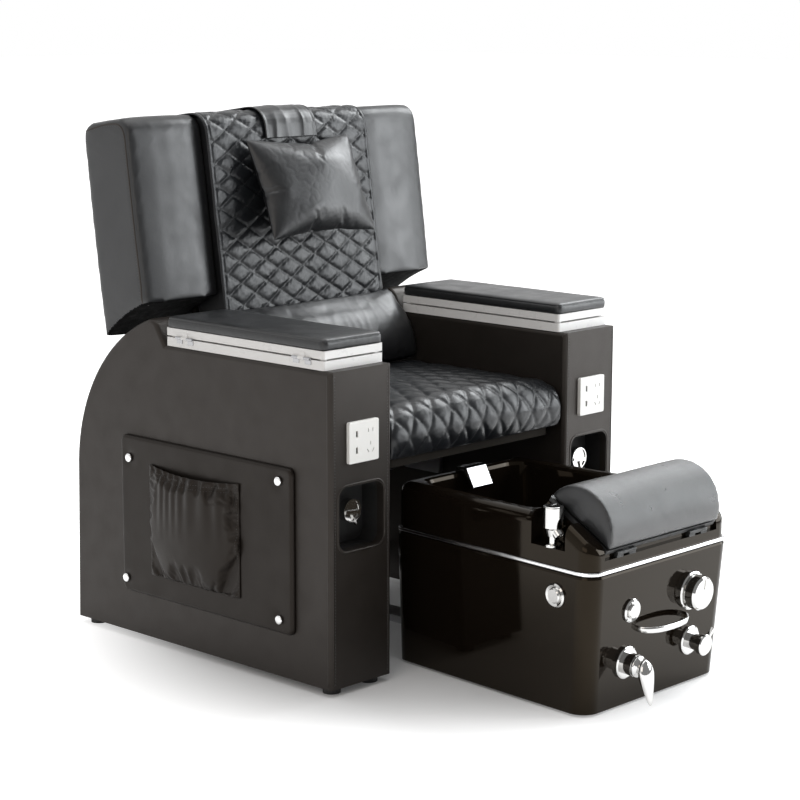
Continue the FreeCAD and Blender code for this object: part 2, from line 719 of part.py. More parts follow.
def arm_casing(side, label):
    """A panelled box, hollow inside, with a round shoulder and openings in its front."""
    owner = body(label)
    side_view = outline(sketch_on(owner, "YZ_Plane"), casing_corners(as_size(0)))
    block = pad(owner, side_view, s.arm_width, "Symmetric")
    nose_y = SHOULDER_START + s.nose_reach
    nosed = round_edges(
        owner, block, s.nose_rounding,
        lambda edge: near(edge.BoundBox.XLength, s.arm_width) and flat_in(edge, "Y", nose_y))
    half = float(s.arm_width) / 2
    round_edges(
        owner, nosed, s.casing_rounding,
        lambda edge: (flat_in(edge, "X", half) or flat_in(edge, "X", -half))
        and not flat_in(edge, "Z", s.foot_height))
    hollow = outline(sketch_on(owner, "YZ_Plane"), casing_corners(s.casing_wall))
    pocket(owner, hollow, s.arm_width - 2 * s.casing_wall, "Symmetric")
    window = sketch_on(owner, "XZ_Plane")
    rectangle(window, -s.recess_width / 2, s.recess_width / 2,
              s.recess_z - s.recess_height / 2, s.recess_z + s.recess_height / 2,
              s.recess_corner)
    pocket(owner, window, s.casing_wall + SMALL_OVERCUT)
    box_half = s.socket_box / 2 + SPLIT_GAP
    box_window = sketch_on(owner, "XZ_Plane")
    rectangle(box_window, -box_half, box_half, s.socket_z - box_half, s.socket_z + box_half)
    pocket(owner, box_window, s.casing_wall + SMALL_OVERCUT)
    bores = sketch_on(owner, "YZ_Plane", side * s.arm_width / 2)
    for spot_y, spot_z in screw_spots():
        circle(bores, spot_y, spot_z, s.screw_shank + 2 * STEM_FIT)
    pocket(owner, bores, s.casing_wall, reverse=side < 0)
    place(owner, side * ARM_MIDDLE)
    return keep(owner, label)


def chair_feet():
    """Eight levelling feet, one under each corner of both casings."""
    feet = []
    across = s.arm_width / 2 - s.foot_inset
    for side in FOOT_SIDES:
        for step in FOOT_SIDES:
            for depth in (s.foot_inset, s.heel_depth - s.foot_inset):
                feet.append(part_cylinder(
                    "foot", side * ARM_MIDDLE + step * across, depth, 0,
                    s.foot_diameter, s.foot_height))
    return keep(group("chair_feet_group", feet), "chair_feet")


def side_panel(side, label):
    """A leather-covered panel on the outside of an arm."""
    owner = body(label)
    rear = s.side_panel_front + s.side_panel_length
    top = s.side_panel_bottom + s.side_panel_height
    face = sketch_on(owner, "YZ_Plane")
    outline(face, [
        corner(s.side_panel_front, s.side_panel_bottom, s.side_panel_corner),
        corner(rear, s.side_panel_bottom, s.side_panel_corner),
        corner(rear, top, s.side_panel_heel),
        corner(s.side_panel_front, top, s.side_panel_corner),
    ])
    sheet_pad = pad(owner, face, s.side_panel_thickness, reverse=side < 0)
    outer = side * s.side_panel_thickness
    round_edges(owner, sheet_pad, s.side_panel_thickness / 4,
                lambda edge: flat_in(edge, "X", outer))
    bores = sketch_on(owner, "YZ_Plane")
    for spot_y, spot_z in screw_spots():
        circle(bores, spot_y, spot_z, s.screw_shank + 2 * STEM_FIT)
    pocket(owner, bores, s.side_panel_thickness + SMALL_OVERCUT, reverse=side > 0)
    place(owner, side * ARM_OUTER)
    return keep(owner, label)


def panel_screws():
    """Eight screws with mirror caps: a low cone outside, a shank through the panel."""
    screws = []
    grip = s.side_panel_thickness + s.casing_wall / 2
    for side in FOOT_SIDES:
        turn_axis = (0, side, 0)
        face = ARM_OUTER + s.side_panel_thickness
        for spot_y, spot_z in screw_spots():
            cap = doc.addObject("Part::Cone", "screw_cap")
            bind(cap, "Radius1", s.screw_cap_diameter / 2)
            bind(cap, "Radius2", s.screw_cap_diameter / 2 - s.screw_cap_height / 2)
            bind(cap, "Height", s.screw_cap_height)
            place(cap, side * face, spot_y, spot_z, turn_axis, as_size(90))
            shank = part_cylinder("screw_shank", side * (face - grip), spot_y, spot_z,
                                  s.screw_shank, grip, turn_axis, as_size(90))
            screw = doc.addObject("Part::Fuse", "panel_screw")
            screw.Base = cap
            screw.Tool = shank
            screws.append(screw)
    return keep(group("screw_group", screws), "side_panel_screws")


def pouch_shape(width, low, high, bulge, foot_bulge):
    """A pouch that swells most below its middle; its flat back lies at X = 0."""
    wires = []
    for share in (0, 0.03, 0.1, 0.22, 0.4, 0.6, 0.8, 1):
        level = low + (high - low) * share
        filled = math.sqrt(1 - (1 - min(1, share / 0.4)) ** 2)
        swell = foot_bulge + (bulge - foot_bulge) * filled - bulge * 0.2 * max(0, share - 0.4)
        left = vector(0, -width / 2, level)
        right = vector(0, width / 2, level)
        middle = vector(swell, 0, level)
        wires.append(Part.Wire([arc_edge(left, middle, right), line_edge(right, left)]))
    return loft_shape(wires)


def side_pocket(side):
    """A gathered leather pouch on the side panel, open at its top."""
    width = float(s.pocket_width)
    low = float(s.pocket_bottom)
    high = low + float(s.pocket_height)
    skin = float(s.pocket_skin)
    bulge = float(s.pocket_bulge)
    outside = pouch_shape(width, low, high, bulge, skin * 1.2)
    inside = pouch_shape(width - 2 * skin, low + skin, high + SMALL_OVERCUT,
                         bulge - skin, skin * 0.6)
    shape = outside.cut(inside)
    if side < 0:
        shape = shape.mirror(FreeCAD.Vector(), FreeCAD.Vector(1, 0, 0))
    face = ARM_OUTER + s.side_panel_thickness
    middle = s.pocket_front + s.pocket_width / 2
    return soft_shape("side_pocket", shape, side * face, middle)


# Front of the arms

def socket_plates():
    """A square wall-socket plate with its back box, on each arm front."""
    slots = [
        (-21, 17, 6, 13, 0),
        (-21, -17, 6, 13, 0),
        (12, 21, 2.4, 8, 0),
        (25, 21, 2.4, 8, 0),
        (18.5, -6, 2.4, 8, 0),
        (11, -21, 2.4, 9, 30),
        (26, -21, 2.4, 9, -30),
    ]
    plates = []
    for side in FOOT_SIDES:
        owner = body("socket_plate")
        half = s.socket_size / 2
        face = sketch_on(owner, "XZ_Plane")
        plate = pad(owner, rectangle(face, -half, half, -half, half, s.socket_thickness / 2),
                    s.socket_thickness)
        round_edges(owner, plate, s.socket_thickness / 5,
                    lambda edge: flat_in(edge, "Y", -s.socket_thickness))
        box_half = s.socket_box / 2
        back = rectangle(sketch_on(owner, "XZ_Plane"), -box_half, box_half, -box_half, box_half)
        pad(owner, back, s.socket_box_depth, reverse=True)
        openings = sketch_on(owner, "XZ_Plane", s.socket_thickness)
        for x, z, width, height, tilt in slots:
            turned_rectangle(openings, x, z, width, height, tilt)
        pocket(owner, openings, s.socket_thickness / 2)
        place(owner, side * ARM_MIDDLE, 0, s.socket_z)
        plates.append(owner)
    return keep(group("socket_group", plates), "socket_plates")


def turned_rectangle(sketch, x, y, width, height, tilt):
    """A small rectangle turned about its middle."""
    along, across = math.cos(math.radians(tilt)), math.sin(math.radians(tilt))
    corners = []
    for step_x, step_y in ((-1, -1), (1, -1), (1, 1), (-1, 1)):
        offset_x, offset_y = step_x * width / 2, step_y * height / 2
        corners.append(corner(x + offset_x * along - offset_y * across,
                              y + offset_x * across + offset_y * along))
    return outline(sketch, corners)


def recess_cups():
    """A plastic cup behind the window in each arm front."""
    cups = []
    depth = s.recess_depth - s.casing_wall
    for side in FOOT_SIDES:
        owner = body("recess_cup")
        outer = sketch_on(owner, "XZ_Plane")
        half_width = s.recess_width / 2 + s.recess_wall
        half_height = s.recess_height / 2 + s.recess_wall
        rectangle(outer, -half_width, half_width, -half_height, half_height,
                  s.recess_corner + s.recess_wall)
        pad(owner, outer, depth + s.recess_wall, reverse=True)
        inner = sketch_on(owner, "XZ_Plane")
        rectangle(inner, -s.recess_width / 2, s.recess_width / 2,
                  -s.recess_height / 2, s.recess_height / 2, s.recess_corner)
        pocket(owner, inner, depth)
        stem = sketch_on(owner, "XZ_Plane")
        circle(stem, 0, s.knob_z - s.recess_z, s.knob_stem + 2 * STEM_FIT)
        pocket(owner, stem, depth + s.recess_wall + SMALL_OVERCUT)
        place(owner, side * ARM_MIDDLE, s.casing_wall, s.recess_z)
        cups.append(owner)
    return keep(group("recess_group", cups), "recess_cups")


def recess_knob(side, label):
    """A ringed knob with a grip band and a small lever pin."""
    owner = body(label)
    radius = s.knob_diameter / 2
    stem = s.knob_stem / 2
    face = -s.knob_length
    dish = 3
    profile = sketch_on(owner, "XY_Plane")
    outline(profile, [
        corner(0, s.recess_wall),
        corner(stem, s.recess_wall),
        corner(stem, -s.knob_length / 3),
        corner(radius - 5, -s.knob_length / 3),
        corner(radius, -s.knob_length / 2),
        corner(radius, face),
        corner(radius - 2.5, face),
        corner(radius - 3.5, face + dish),
        corner(0, face + dish),
    ])
    turn("Revolution", owner, profile)
    band = sketch_on(owner, "XZ_Plane", s.knob_length - dish)
    turned_rectangle(band, 0, -3, float(s.knob_diameter) - 6, 7, -6)
    pad(owner, band, as_size(dish + 2))
    lever = sketch_on(owner, "XZ_Plane", s.knob_length - dish)
    turned_rectangle(lever, 6, -20, 4, 24, 22)
    pad(owner, lever, as_size(dish + 1))
    place(owner, side * ARM_MIDDLE, s.recess_depth, s.knob_z)
    return keep(owner, label)


# Armrests

def strip_plan(sketch, side):
    """Plan of an armrest strip, drawn from the middle of its outer side."""
    outer, inner = as_size(0), -side * s.armrest_width
    left, right = (inner, outer) if side > 0 else (outer, inner)
    return rectangle(sketch, left, right, s.armrest_front,
                     s.armrest_front + s.armrest_length, s.strip_rounding)


def hinge_middles():
    """Y of the two hinges of an armrest."""
    return (s.armrest_front + s.hinge_inset,
            s.armrest_front + s.armrest_length - s.hinge_inset)


def armrest_base(side):
    """The fixed lower strip with four buffers that carry the closed board."""
    owner = body("armrest_base")
    strip = strip_plan(sketch_on(owner, "XY_Plane"), side)
    pad(owner, strip, s.strip_height)
    buffers = sketch_on(owner, "XY_Plane", s.strip_height)
    inset = s.buffer_diameter
    for x in (inset, s.armrest_width - inset):
        for y in (s.armrest_front + inset, s.armrest_front + s.armrest_length - inset):
            circle(buffers, -side * x, y, s.buffer_diameter)
    pad(owner, buffers, s.tray_gap - SPLIT_GAP)
    place(owner, side * s.armrest_outer, 0, s.arm_top)
    return owner


def armrest_hinges():
    """Fixed halves of the four armrest hinges: a leaf, two knuckles and the pin."""
    halves = []
    axis_z = s.arm_top + s.strip_height + s.tray_gap / 2
    third = s.hinge_length / 3
    for side in FOOT_SIDES:
        pin_x = s.armrest_outer + s.hinge_stand
        for middle in hinge_middles():
            start = middle - s.hinge_length / 2
            owner = body("armrest_hinge")
            ends = ((as_size(0), third), (2 * third, third))
            for first, length in ends:
                tube = circle(sketch_on(owner, "XZ_Plane", -first), 0, 0, 2 * s.knuckle_radius)
                pad(owner, tube, length, reverse=True)
                leaf = sketch_on(owner, "XZ_Plane", -first)
                near_side = -side * (s.hinge_stand - s.leaf_thickness)
                far_side = -side * s.hinge_stand
                left, right = sorted((near_side, far_side), key=float)
                rectangle(leaf, left, right, -s.leaf_height, as_size(0))
                pad(owner, leaf, length, reverse=True)
            pin = circle(sketch_on(owner, "XZ_Plane"), 0, 0, 2 * s.hinge_pin_radius)
            pad(owner, pin, s.hinge_length, reverse=True)
            place(owner, side * pin_x, start, axis_z)
            halves.append(owner)
    return keep(group("hinge_group", halves), "armrest_hinges")


def armrest_board(side, label):
    """The hinged upper strip with the moving knuckle of both hinges."""
    owner = body(label)
    pad(owner, strip_plan(sketch_on(owner, "XY_Plane", s.tray_gap / 2), side), s.board_height)
    third = s.hinge_length / 3
    for middle in hinge_middles():
        start = middle - third / 2 + s.knuckle_gap
        length = third - 2 * s.knuckle_gap
        leaf = sketch_on(owner, "XZ_Plane", -start)
        near_side = side * s.leaf_thickness
        left, right = sorted((as_size(0), near_side), key=float)
        rectangle(leaf, left, right, as_size(0), s.leaf_height)
        pad(owner, leaf, length, reverse=True)
        tube = circle(sketch_on(owner, "XZ_Plane", -start), side * s.hinge_stand, 0,
                      2 * s.knuckle_radius)
        pad(owner, tube, length, reverse=True)
        bore = circle(sketch_on(owner, "XZ_Plane", -start + SMALL_OVERCUT),
                      side * s.hinge_stand, 0, 2 * (s.hinge_pin_radius + s.hinge_play))
        pocket(owner, bore, length + 2 * SMALL_OVERCUT)
    place(owner, side * s.armrest_outer, 0,
          s.arm_top + s.strip_height + s.tray_gap / 2)
    return keep(owner, label)


def crowned_wire(y, half_width, height, crown, bulge):
    """Cross-section of a flat-bottomed pad: bulged sides and a crowned top."""
    foot_left, foot_right = vector(-half_width, y, 0), vector(half_width, y, 0)
    top_left = vector(-half_width + bulge, y, height - crown)
    top_right = vector(half_width - bulge, y, height - crown)
    side_left = vector(-half_width - bulge / 2, y, (height - crown) * 0.5)
    side_right = vector(half_width + bulge / 2, y, (height - crown) * 0.5)
    return Part.Wire([
        line_edge(foot_left, foot_right),
        arc_edge(foot_right, side_right, top_right),
        arc_edge(top_right, vector(0, y, height), top_left),
        arc_edge(top_left, side_left, foot_left),
    ])


def armrest_pad(side, label):
    """A thin crowned pad on the hinged board."""
    length = float(s.armrest_length)
    height = float(s.pad_height)
    half = float(s.armrest_width) / 2 - float(s.soft_gap) - 1.5
    wires = []
    for y, inset in drawn_in(length / 2, 8, (-0.6, 0, 0.6)):
        rise = 1 - (2 * y / length) ** 2
        wires.append(crowned_wire(y, half - inset * 0.5, height - inset - 3 * (1 - rise),
                                  4 - inset * 0.2, 3))
    top = s.arm_top + s.strip_height + s.tray_gap + s.board_height
    x = side * (s.armrest_outer - s.armrest_width / 2)
    middle = s.armrest_front + s.armrest_length / 2
    return keep(soft_shape(label, loft_shape(wires), x, middle, top), label)


# Seat and frame between the arms

def cross_rails():
    """Three square tubes from arm to arm: two under the seat, one near the floor."""
    rails = []
    size = s.rail_size
    under_deck = s.deck_top - s.deck_thickness - size
    for middle_y, low in ((s.front_rail_y, under_deck), (s.middle_rail_y, under_deck),
                          (s.floor_rail_y, s.floor_rail_z - size / 2)):
        rails.append(part_box("rail", -s.seat_width / 2, middle_y - size / 2, low,
                              s.seat_width, size, size))
    return keep(group("rail_group", rails), "cross_rails")


def seat_deck():
    owner = body("seat_deck")
    half = s.seat_width / 2 - s.deck_thickness
    plan = sketch_on(owner, "XY_Plane")
    rectangle(plan, -half, half, s.deck_front, s.deck_back, s.deck_thickness)
    pad(owner, plan, s.deck_thickness)
    place(owner, 0, 0, s.deck_top - s.deck_thickness)
    return keep(owner, "seat_deck")


def seat_wire(x, inset, crown):
    """Side view of the seat: rolled front edge, flat top, round rear about the recline axis."""
    low = float(s.deck_top) + 0.3
    top = float(s.seat_edge_top) - inset + crown
    front = inset * 0.6
    roll = float(s.seat_roll)
    radius = float(s.seat_back_radius) - inset * 0.5
    pivot_y, pivot_z = float(s.recline_y), float(s.recline_z)

    def rear(angle):
        turned = math.radians(angle)
        return vector(x, pivot_y + radius * math.sin(turned), pivot_z + radius * math.cos(turned))

    start_angle = 3.0
    end_angle = math.degrees(math.acos((low + 14 - pivot_z) / radius))
    top_rear = rear(start_angle)
    low_rear = rear(end_angle)
    front_low = vector(x, front + 8, low)
    front_mid = vector(x, front - 4 + crown * -0.25, low + (top - low) * 0.5)
    front_high = vector(x, front + roll * 0.28, top - roll * 0.26)
    roll_top = vector(x, front + roll * 1.2, top)
    roll_mid = vector(x, front + roll * 0.62, top - roll * 0.06)
    crown_mid = vector(x, (roll_top.y + top_rear.y) / 2, (top + top_rear.z) / 2 + 2 + crown * 0.3)
    foot_rear = vector(x, low_rear.y, low)
    return Part.Wire([
        arc_edge(front_low, front_mid, front_high),
        arc_edge(front_high, roll_mid, roll_top),
        arc_edge(roll_top, crown_mid, top_rear),
        arc_edge(top_rear, rear((start_angle + end_angle) / 2), low_rear),
        line_edge(low_rear, foot_rear),
        line_edge(foot_rear, front_low),
    ])


def seat_cushion():
    half = float(s.seat_width) / 2 - float(s.soft_gap)
    crown = float(s.seat_crown)
    wires = []
    for x, inset in drawn_in(half, 12, (-0.8, -0.55, -0.28, 0, 0.28, 0.55, 0.8)):
        swell = crown * (1 - (x / half) ** 2)
        wires.append(seat_wire(x, inset, swell))
    return keep(soft_shape("seat_cushion", loft_shape(wires)), "seat_cushion")


def rear_cover():
    owner = body("rear_cover")
    face = sketch_on(owner, "XZ_Plane")
    half = s.seat_width / 2
    rectangle(face, -half, half, s.rear_cover_bottom, s.rear_cover_top)
    block = pad(owner, face, s.rear_cover_thickness, reverse=True)
    round_edges(owner, block, s.rear_cover_thickness / 3,
                lambda edge: flat_in(edge, "Y", s.rear_cover_thickness)
                and near(edge.BoundBox.XLength, s.seat_width))
    place(owner, 0, s.rear_cover_y)
    return keep(owner, "rear_cover")


def pivot_brackets():
    """A plate with a bearing boss on the inner side of each arm."""
    brackets = []
    for side in FOOT_SIDES:
        owner = body("pivot_bracket")
        half = s.bracket_size / 2
        plate = sketch_on(owner, "YZ_Plane")
        rectangle(plate, -half, half, -half, half, s.bracket_thickness)
        pad(owner, plate, s.bracket_thickness, reverse=side > 0)
        boss = circle(sketch_on(owner, "YZ_Plane"), 0, 0, s.boss_diameter)
        pad(owner, boss, s.bracket_thickness + s.boss_length, reverse=side > 0)
        bore = circle(sketch_on(owner, "YZ_Plane"), 0, 0,
                      s.shaft_diameter + 2 * s.shaft_clearance)
        pocket(owner, bore, s.bracket_thickness + s.boss_length + SMALL_OVERCUT,
               reverse=side < 0)
        place(owner, side * s.seat_width / 2, s.recline_y, s.recline_z)
        brackets.append(owner)
    return keep(group("bracket_group", brackets), "pivot_brackets")


def recline_drive():
    """A worm gear housing round the shaft, hung from the deck, with its motor behind."""
    owner = body("recline_drive")
    housing = circle(sketch_on(owner, "YZ_Plane"), 0, 0, s.drive_diameter)
    pad(owner, housing, s.drive_width, "Symmetric")
    hanger_top = s.deck_top - s.deck_thickness - s.recline_z
    hanger = sketch_on(owner, "YZ_Plane")
    rectangle(hanger, -s.drive_diameter * 0.4, s.drive_diameter * 0.4, as_size(10), hanger_top)
    pad(owner, hanger, s.drive_width, "Symmetric")
    motor = sketch_on(owner, "XZ_Plane", -s.drive_diameter / 2 + 8)
    circle(motor, 0, 0, s.motor_diameter)
    pad(owner, motor, s.motor_length, reverse=True)
    bore = circle(sketch_on(owner, "YZ_Plane"), 0, 0, s.shaft_diameter + 2 * s.shaft_clearance)
    pocket(owner, bore, s.drive_width + 2 * SMALL_OVERCUT, "Symmetric")
    place(owner, s.drive_offset, s.recline_y, s.recline_z)
    return keep(owner, "recline_drive")


def guide_rail():
    """A flat rail near the floor that keeps the basin square to the chair as it slides."""
    owner = body("guide_rail")
    top = s.floor_rail_z - s.rail_size / 2
    half = s.guide_width / 2
    plan = sketch_on(owner, "XY_Plane", top - s.guide_height)
    rectangle(plan, -half, half, s.guide_front, s.floor_rail_y + s.rail_size / 2)
    pad(owner, plan, s.guide_height)
    foot = sketch_on(owner, "XY_Plane")
    rectangle(foot, -half, half, s.guide_front, s.guide_front + s.rail_size)
    pad(owner, foot, top - s.guide_height)
    place(owner, s.tub_shift)
    return keep(owner, "guide_rail")


# Reclining back, drawn from the recline axis: Y backwards, Z up along the back

def on_back_soft(label, shape, x=0):
    """A soft piece of the leaning back."""
    return keep(soft_shape(label, shape, x, s.recline_y, s.recline_z, (-1, 0, 0), LEAN), label)


def recline_shaft():
    reach = s.seat_width / 2 - SPLIT_GAP
    shaft = part_cylinder("recline_shaft", -reach, s.recline_y, s.recline_z,
                          s.shaft_diameter, 2 * reach, (0, 1, 0), as_size(90))
    return keep(shaft, "recline_shaft")


def back_side_plates():
    """A steel plate on each side: a hub on the shaft, an arm back and an upright."""
    plates = []
    half = s.plate_width / 2
    for side in FOOT_SIDES:
        owner = body("side_plate")
        start = side * s.plate_offset - s.plate_thickness / 2
        hub = circle(sketch_on(owner, "YZ_Plane", start), 0, 0, s.hub_diameter)
        pad(owner, hub, s.plate_thickness)
        arm = sketch_on(owner, "YZ_Plane", start)
        outline(arm, [
            corner(0, -half),
            corner(s.plate_reach + half, -half, half),
            corner(s.plate_reach + half, s.plate_top, half * 0.9),
            corner(s.plate_reach - half, s.plate_top, half * 0.9),
            corner(s.plate_reach - half, half, half),
            corner(0, half),
        ])
        pad(owner, arm, s.plate_thickness)
        bore = circle(sketch_on(owner, "YZ_Plane", start - SMALL_OVERCUT), 0, 0, s.shaft_diameter)
        pocket(owner, bore, s.plate_thickness + 2 * SMALL_OVERCUT, reverse=True)
        on_back(owner)
        plates.append(owner)
    return keep(group("side_plate_group", plates), "back_side_plates")


def back_board():
    owner = body("back_board")
    half = s.wing_inner - 2
    face = sketch_on(owner, "XZ_Plane", -s.board_front)
    rectangle(face, -half, half, s.board_bottom, s.cushion_top - s.board_thickness,
              s.board_thickness)
    pad(owner, face, s.board_thickness, reverse=True)
    on_back(owner)
    return keep(owner, "back_board")


def back_rear_cover():
    """A covered tray behind the board, open below for the side plates."""
    owner = body("back_rear_cover")
    front = s.board_front + s.board_thickness + SPLIT_GAP
    depth = s.back_front + s.wing_depth - front
    top = s.cushion_top - 5
    half = s.wing_inner - SPLIT_GAP
    outer = sketch_on(owner, "XZ_Plane", -front)
    rectangle(outer, -half, half, s.board_bottom, top)
    block = pad(owner, outer, depth, reverse=True)
    rear = float(front + depth)
    round_edges(owner, block, s.wing_edge_rounding,
                lambda edge: flat_in(edge, "Y", rear) and not flat_in(edge, "Z", s.board_bottom))
    inner = sketch_on(owner, "XZ_Plane", -front)
    rectangle(inner, -half + s.cover_wall, half - s.cover_wall,
              s.board_bottom - SMALL_OVERCUT, top - s.cover_wall)
    pocket(owner, inner, depth - s.cover_wall)
    on_back(owner)
    return keep(owner, "back_rear_cover")


def wing_wire(x, inset, crown):
    """Side view of a wing: round foot over the shoulder, rounded upper corners."""
    foot = float(s.shoulder_radius + s.wing_gap) + inset
    front = float(s.back_front) + inset - crown
    rear = float(s.back_front + s.wing_depth) - inset
    top = float(s.wing_top) - inset
    rounding = float(s.wing_top_rounding)
    bend = rounding * (1 - math.sqrt(0.5))

    def on_foot(y):
        return vector(x, y, math.sqrt(foot * foot - y * y))

    front_foot, rear_foot = on_foot(front), on_foot(rear)
    return Part.Wire([
        line_edge(front_foot, vector(x, front, top - rounding)),
        arc_edge(vector(x, front, top - rounding), vector(x, front + bend, top - bend),
                 vector(x, front + rounding, top)),
        line_edge(vector(x, front + rounding, top), vector(x, rear - rounding, top)),
        arc_edge(vector(x, rear - rounding, top), vector(x, rear - bend, top - bend),
                 vector(x, rear, top - rounding)),
        line_edge(vector(x, rear, top - rounding), rear_foot),
        arc_edge(rear_foot, on_foot((front + rear) / 2), front_foot),
    ])


def back_wing(side, label):
    """An upholstered side wing of the back."""
    half = float(s.wing_width) / 2
    wires = []
    for x, inset in drawn_in(half, float(s.wing_edge_rounding), (-0.45, 0, 0.45)):
        wires.append(wing_wire(x, inset, float(s.wing_crown) * (1 - (x / half) ** 2)))
    return on_back_soft(label, loft_shape(wires), side * (s.wing_inner + s.wing_width / 2))


def cushion_wire(x, inset):
    """Side view of the centre cushion: round foot over the seat, rounded top."""
    foot = float(s.seat_back_radius) + 1 + inset
    front = float(s.cushion_front) + inset
    rear = float(s.board_front) - 0.5
    top = float(s.cushion_top) - inset
    rounding = float(s.cushion_rounding)
    bend = rounding * (1 - math.sqrt(0.5))

    def on_foot(y):
        return vector(x, y, math.sqrt(foot * foot - y * y))

    return Part.Wire([
        line_edge(on_foot(front), vector(x, front, top - rounding)),
        arc_edge(vector(x, front, top - rounding), vector(x, front + bend, top - bend),
                 vector(x, front + rounding, top)),
        line_edge(vector(x, front + rounding, top), vector(x, rear, top)),
        line_edge(vector(x, rear, top), on_foot(rear)),
        arc_edge(on_foot(rear), on_foot((front + rear) / 2), on_foot(front)),
    ])


def back_cushion():
    half = float(s.wing_inner) - 2
    wires = []
    for x, inset in drawn_in(half, 8, (-0.5, 0, 0.5)):
        wires.append(cushion_wire(x, inset))
    return on_back_soft("back_cushion", loft_shape(wires))


def draped_band(owner, gap, thickness, front_low, rear_low, hem):
    """Side view of a sheet laid over the top of the back, from hem to hem."""
    front = s.cushion_front - SPLIT_GAP - gap
    top = s.cushion_top + SPLIT_GAP + gap
    rear = s.back_front + s.wing_depth + SPLIT_GAP + gap
    front_bend = s.cushion_rounding + SPLIT_GAP + gap
    rear_bend = s.wing_edge_rounding + SPLIT_GAP + gap
    band = sketch_on(owner, "YZ_Plane", -hem)
    outline(band, [
        corner(front - thickness, front_low),
        corner(front - thickness, top + thickness, front_bend + thickness),
        corner(rear + thickness, top + thickness, rear_bend + thickness),
        corner(rear + thickness, rear_low),
        corner(rear, rear_low),
        corner(rear, top, rear_bend),
        corner(front, top, front_bend),
        corner(front, front_low),
    ])
    return band


def quilted_cover():
    """The quilted sheet over the front, the top and part of the rear of the back."""
    owner = body("quilted_cover")
    band = draped_band(owner, as_size(0), s.quilt_thickness, s.quilt_bottom, s.quilt_flap,
                       s.quilt_half)
    block = pad(owner, band, 2 * s.quilt_half)
    round_edges(owner, block, s.quilt_thickness * 0.45,
                lambda edge: near(edge.BoundBox.XLength, 2 * s.quilt_half)
                and (flat_in(edge, "Z", s.quilt_bottom) or flat_in(edge, "Z", s.quilt_flap)))
    on_back(owner)
    return keep(owner, "quilted_cover")


def pillow_strap():
    owner = body("pillow_strap")
    gap = s.quilt_thickness + SPLIT_GAP
    band = draped_band(owner, gap, s.strap_thickness, s.strap_front, s.strap_back,
                       s.strap_width / 2)
    pad(owner, band, s.strap_width)
    on_back(owner)
    return keep(owner, "pillow_strap")


def pillow_wire(x, half_height, half_thickness):
    """Cross-section of the tilted pillow: two arcs that meet in its seams."""
    tilt = math.radians(float(s.pillow_tilt))
    middle = vector(x, s.pillow_stand, s.pillow_centre)
    along = vector(0, math.sin(tilt), math.cos(tilt))
    through = vector(0, math.cos(tilt), -math.sin(tilt))
    upper, lower = middle + along * half_height, middle - along * half_height
    return Part.Wire([
        arc_edge(lower, middle - through * half_thickness, upper),
        arc_edge(upper, middle + through * half_thickness, lower),
    ])


def head_pillow():
    """A stuffed pillow, full in its middle and drawn in along its seams."""
    half = float(s.pillow_width) / 2
    wires = []
    for share in (-1, -0.985, -0.93, -0.8, -0.6, -0.3, 0, 0.3, 0.6, 0.8, 0.93, 0.985, 1):
        filled = (1 - abs(share) ** 2.4) ** 0.5
        draw = 1 - 0.045 * math.sin(math.pi * (share + 1) / 2)
        wires.append(pillow_wire(share * half, float(s.pillow_height) / 2 * draw,
                                 6 + (float(s.pillow_thickness) / 2 - 6) * filled))
    return on_back_soft("head_pillow", loft_shape(wires))


def lumbar_wire(x, inset, swell):
    """Side view of the lumbar cushion: full below, tapering up the back."""
    foot = float(s.seat_back_radius) + 1 + inset
    rear = float(s.cushion_front) - float(s.soft_gap) * 0.6
    top = float(s.lumbar_top) - inset
    low_front = rear - float(s.lumbar_front) + inset - swell * 0.4

    def on_foot(y):
        return vector(x, y, math.sqrt(foot * foot - y * y))

    belly = vector(x, low_front - 6 - swell * 0.6, foot + 50)
    waist = vector(x, rear - 40 + inset, top - 33)
    crest = vector(x, rear - 9 + inset * 0.4, top)
    return Part.Wire([
        arc_edge(on_foot(low_front), belly, waist),
        arc_edge(waist, vector(x, rear - 27 + inset * 0.6, top - 13), crest),
        line_edge(crest, vector(x, rear, top)),
        line_edge(vector(x, rear, top), on_foot(rear)),
        arc_edge(on_foot(rear), on_foot((low_front + rear) / 2), on_foot(low_front)),
    ])


def lumbar_cushion():
    half = float(s.seat_width) / 2 - float(s.lumbar_gap)
    wires = []
    for x, inset in drawn_in(half, 9, (-0.5, 0, 0.5)):
        wires.append(lumbar_wire(x, inset, 6 * (1 - (x / half) ** 2)))
    return on_back_soft("lumbar_cushion", loft_shape(wires))


# Foot basin, drawn from its own middle line

def in_basin(thing, y=0, z=0):
    return place(thing, s.tub_shift, y, z)


def half_at(y, inset=0):
    """Half width of the basin at the trim, at a depth from the arm front."""
    taper = (s.tub_half_front - s.tub_half_back) / (s.tub_reach + s.tub_back)
    return s.tub_half_front - taper * (s.tub_reach + y) - inset


def basin_plan(sketch, inset, lean, side_lean):
    """Plan of the basin: wide in front, narrower behind, with rounded corners."""
    front_y = -s.tub_reach + inset + lean
    rear_y = s.tub_back - inset
    front_half = s.tub_half_front - inset - side_lean
    rear_half = s.tub_half_back - inset - side_lean
    front_rounding = s.tub_corner - inset
    rear_rounding = s.tub_rear_corner - inset
    return outline(sketch, [
        corner(-front_half, front_y, front_rounding),
        corner(front_half, front_y, front_rounding),
        corner(rear_half, rear_y, rear_rounding),
        corner(-rear_half, rear_y, rear_rounding),
    ])


def front_holes():
    """X, Z and diameter of the holes in the skirt's front wall."""
    return [
        (s.air_front_x, s.air_front_z, s.air_barrel),
        (s.diverter_x, s.diverter_z, s.valve_barrel),
        (s.drain_x, s.drain_z, s.valve_barrel),
        (s.mixer_x, s.mixer_z, s.valve_barrel),
    ]


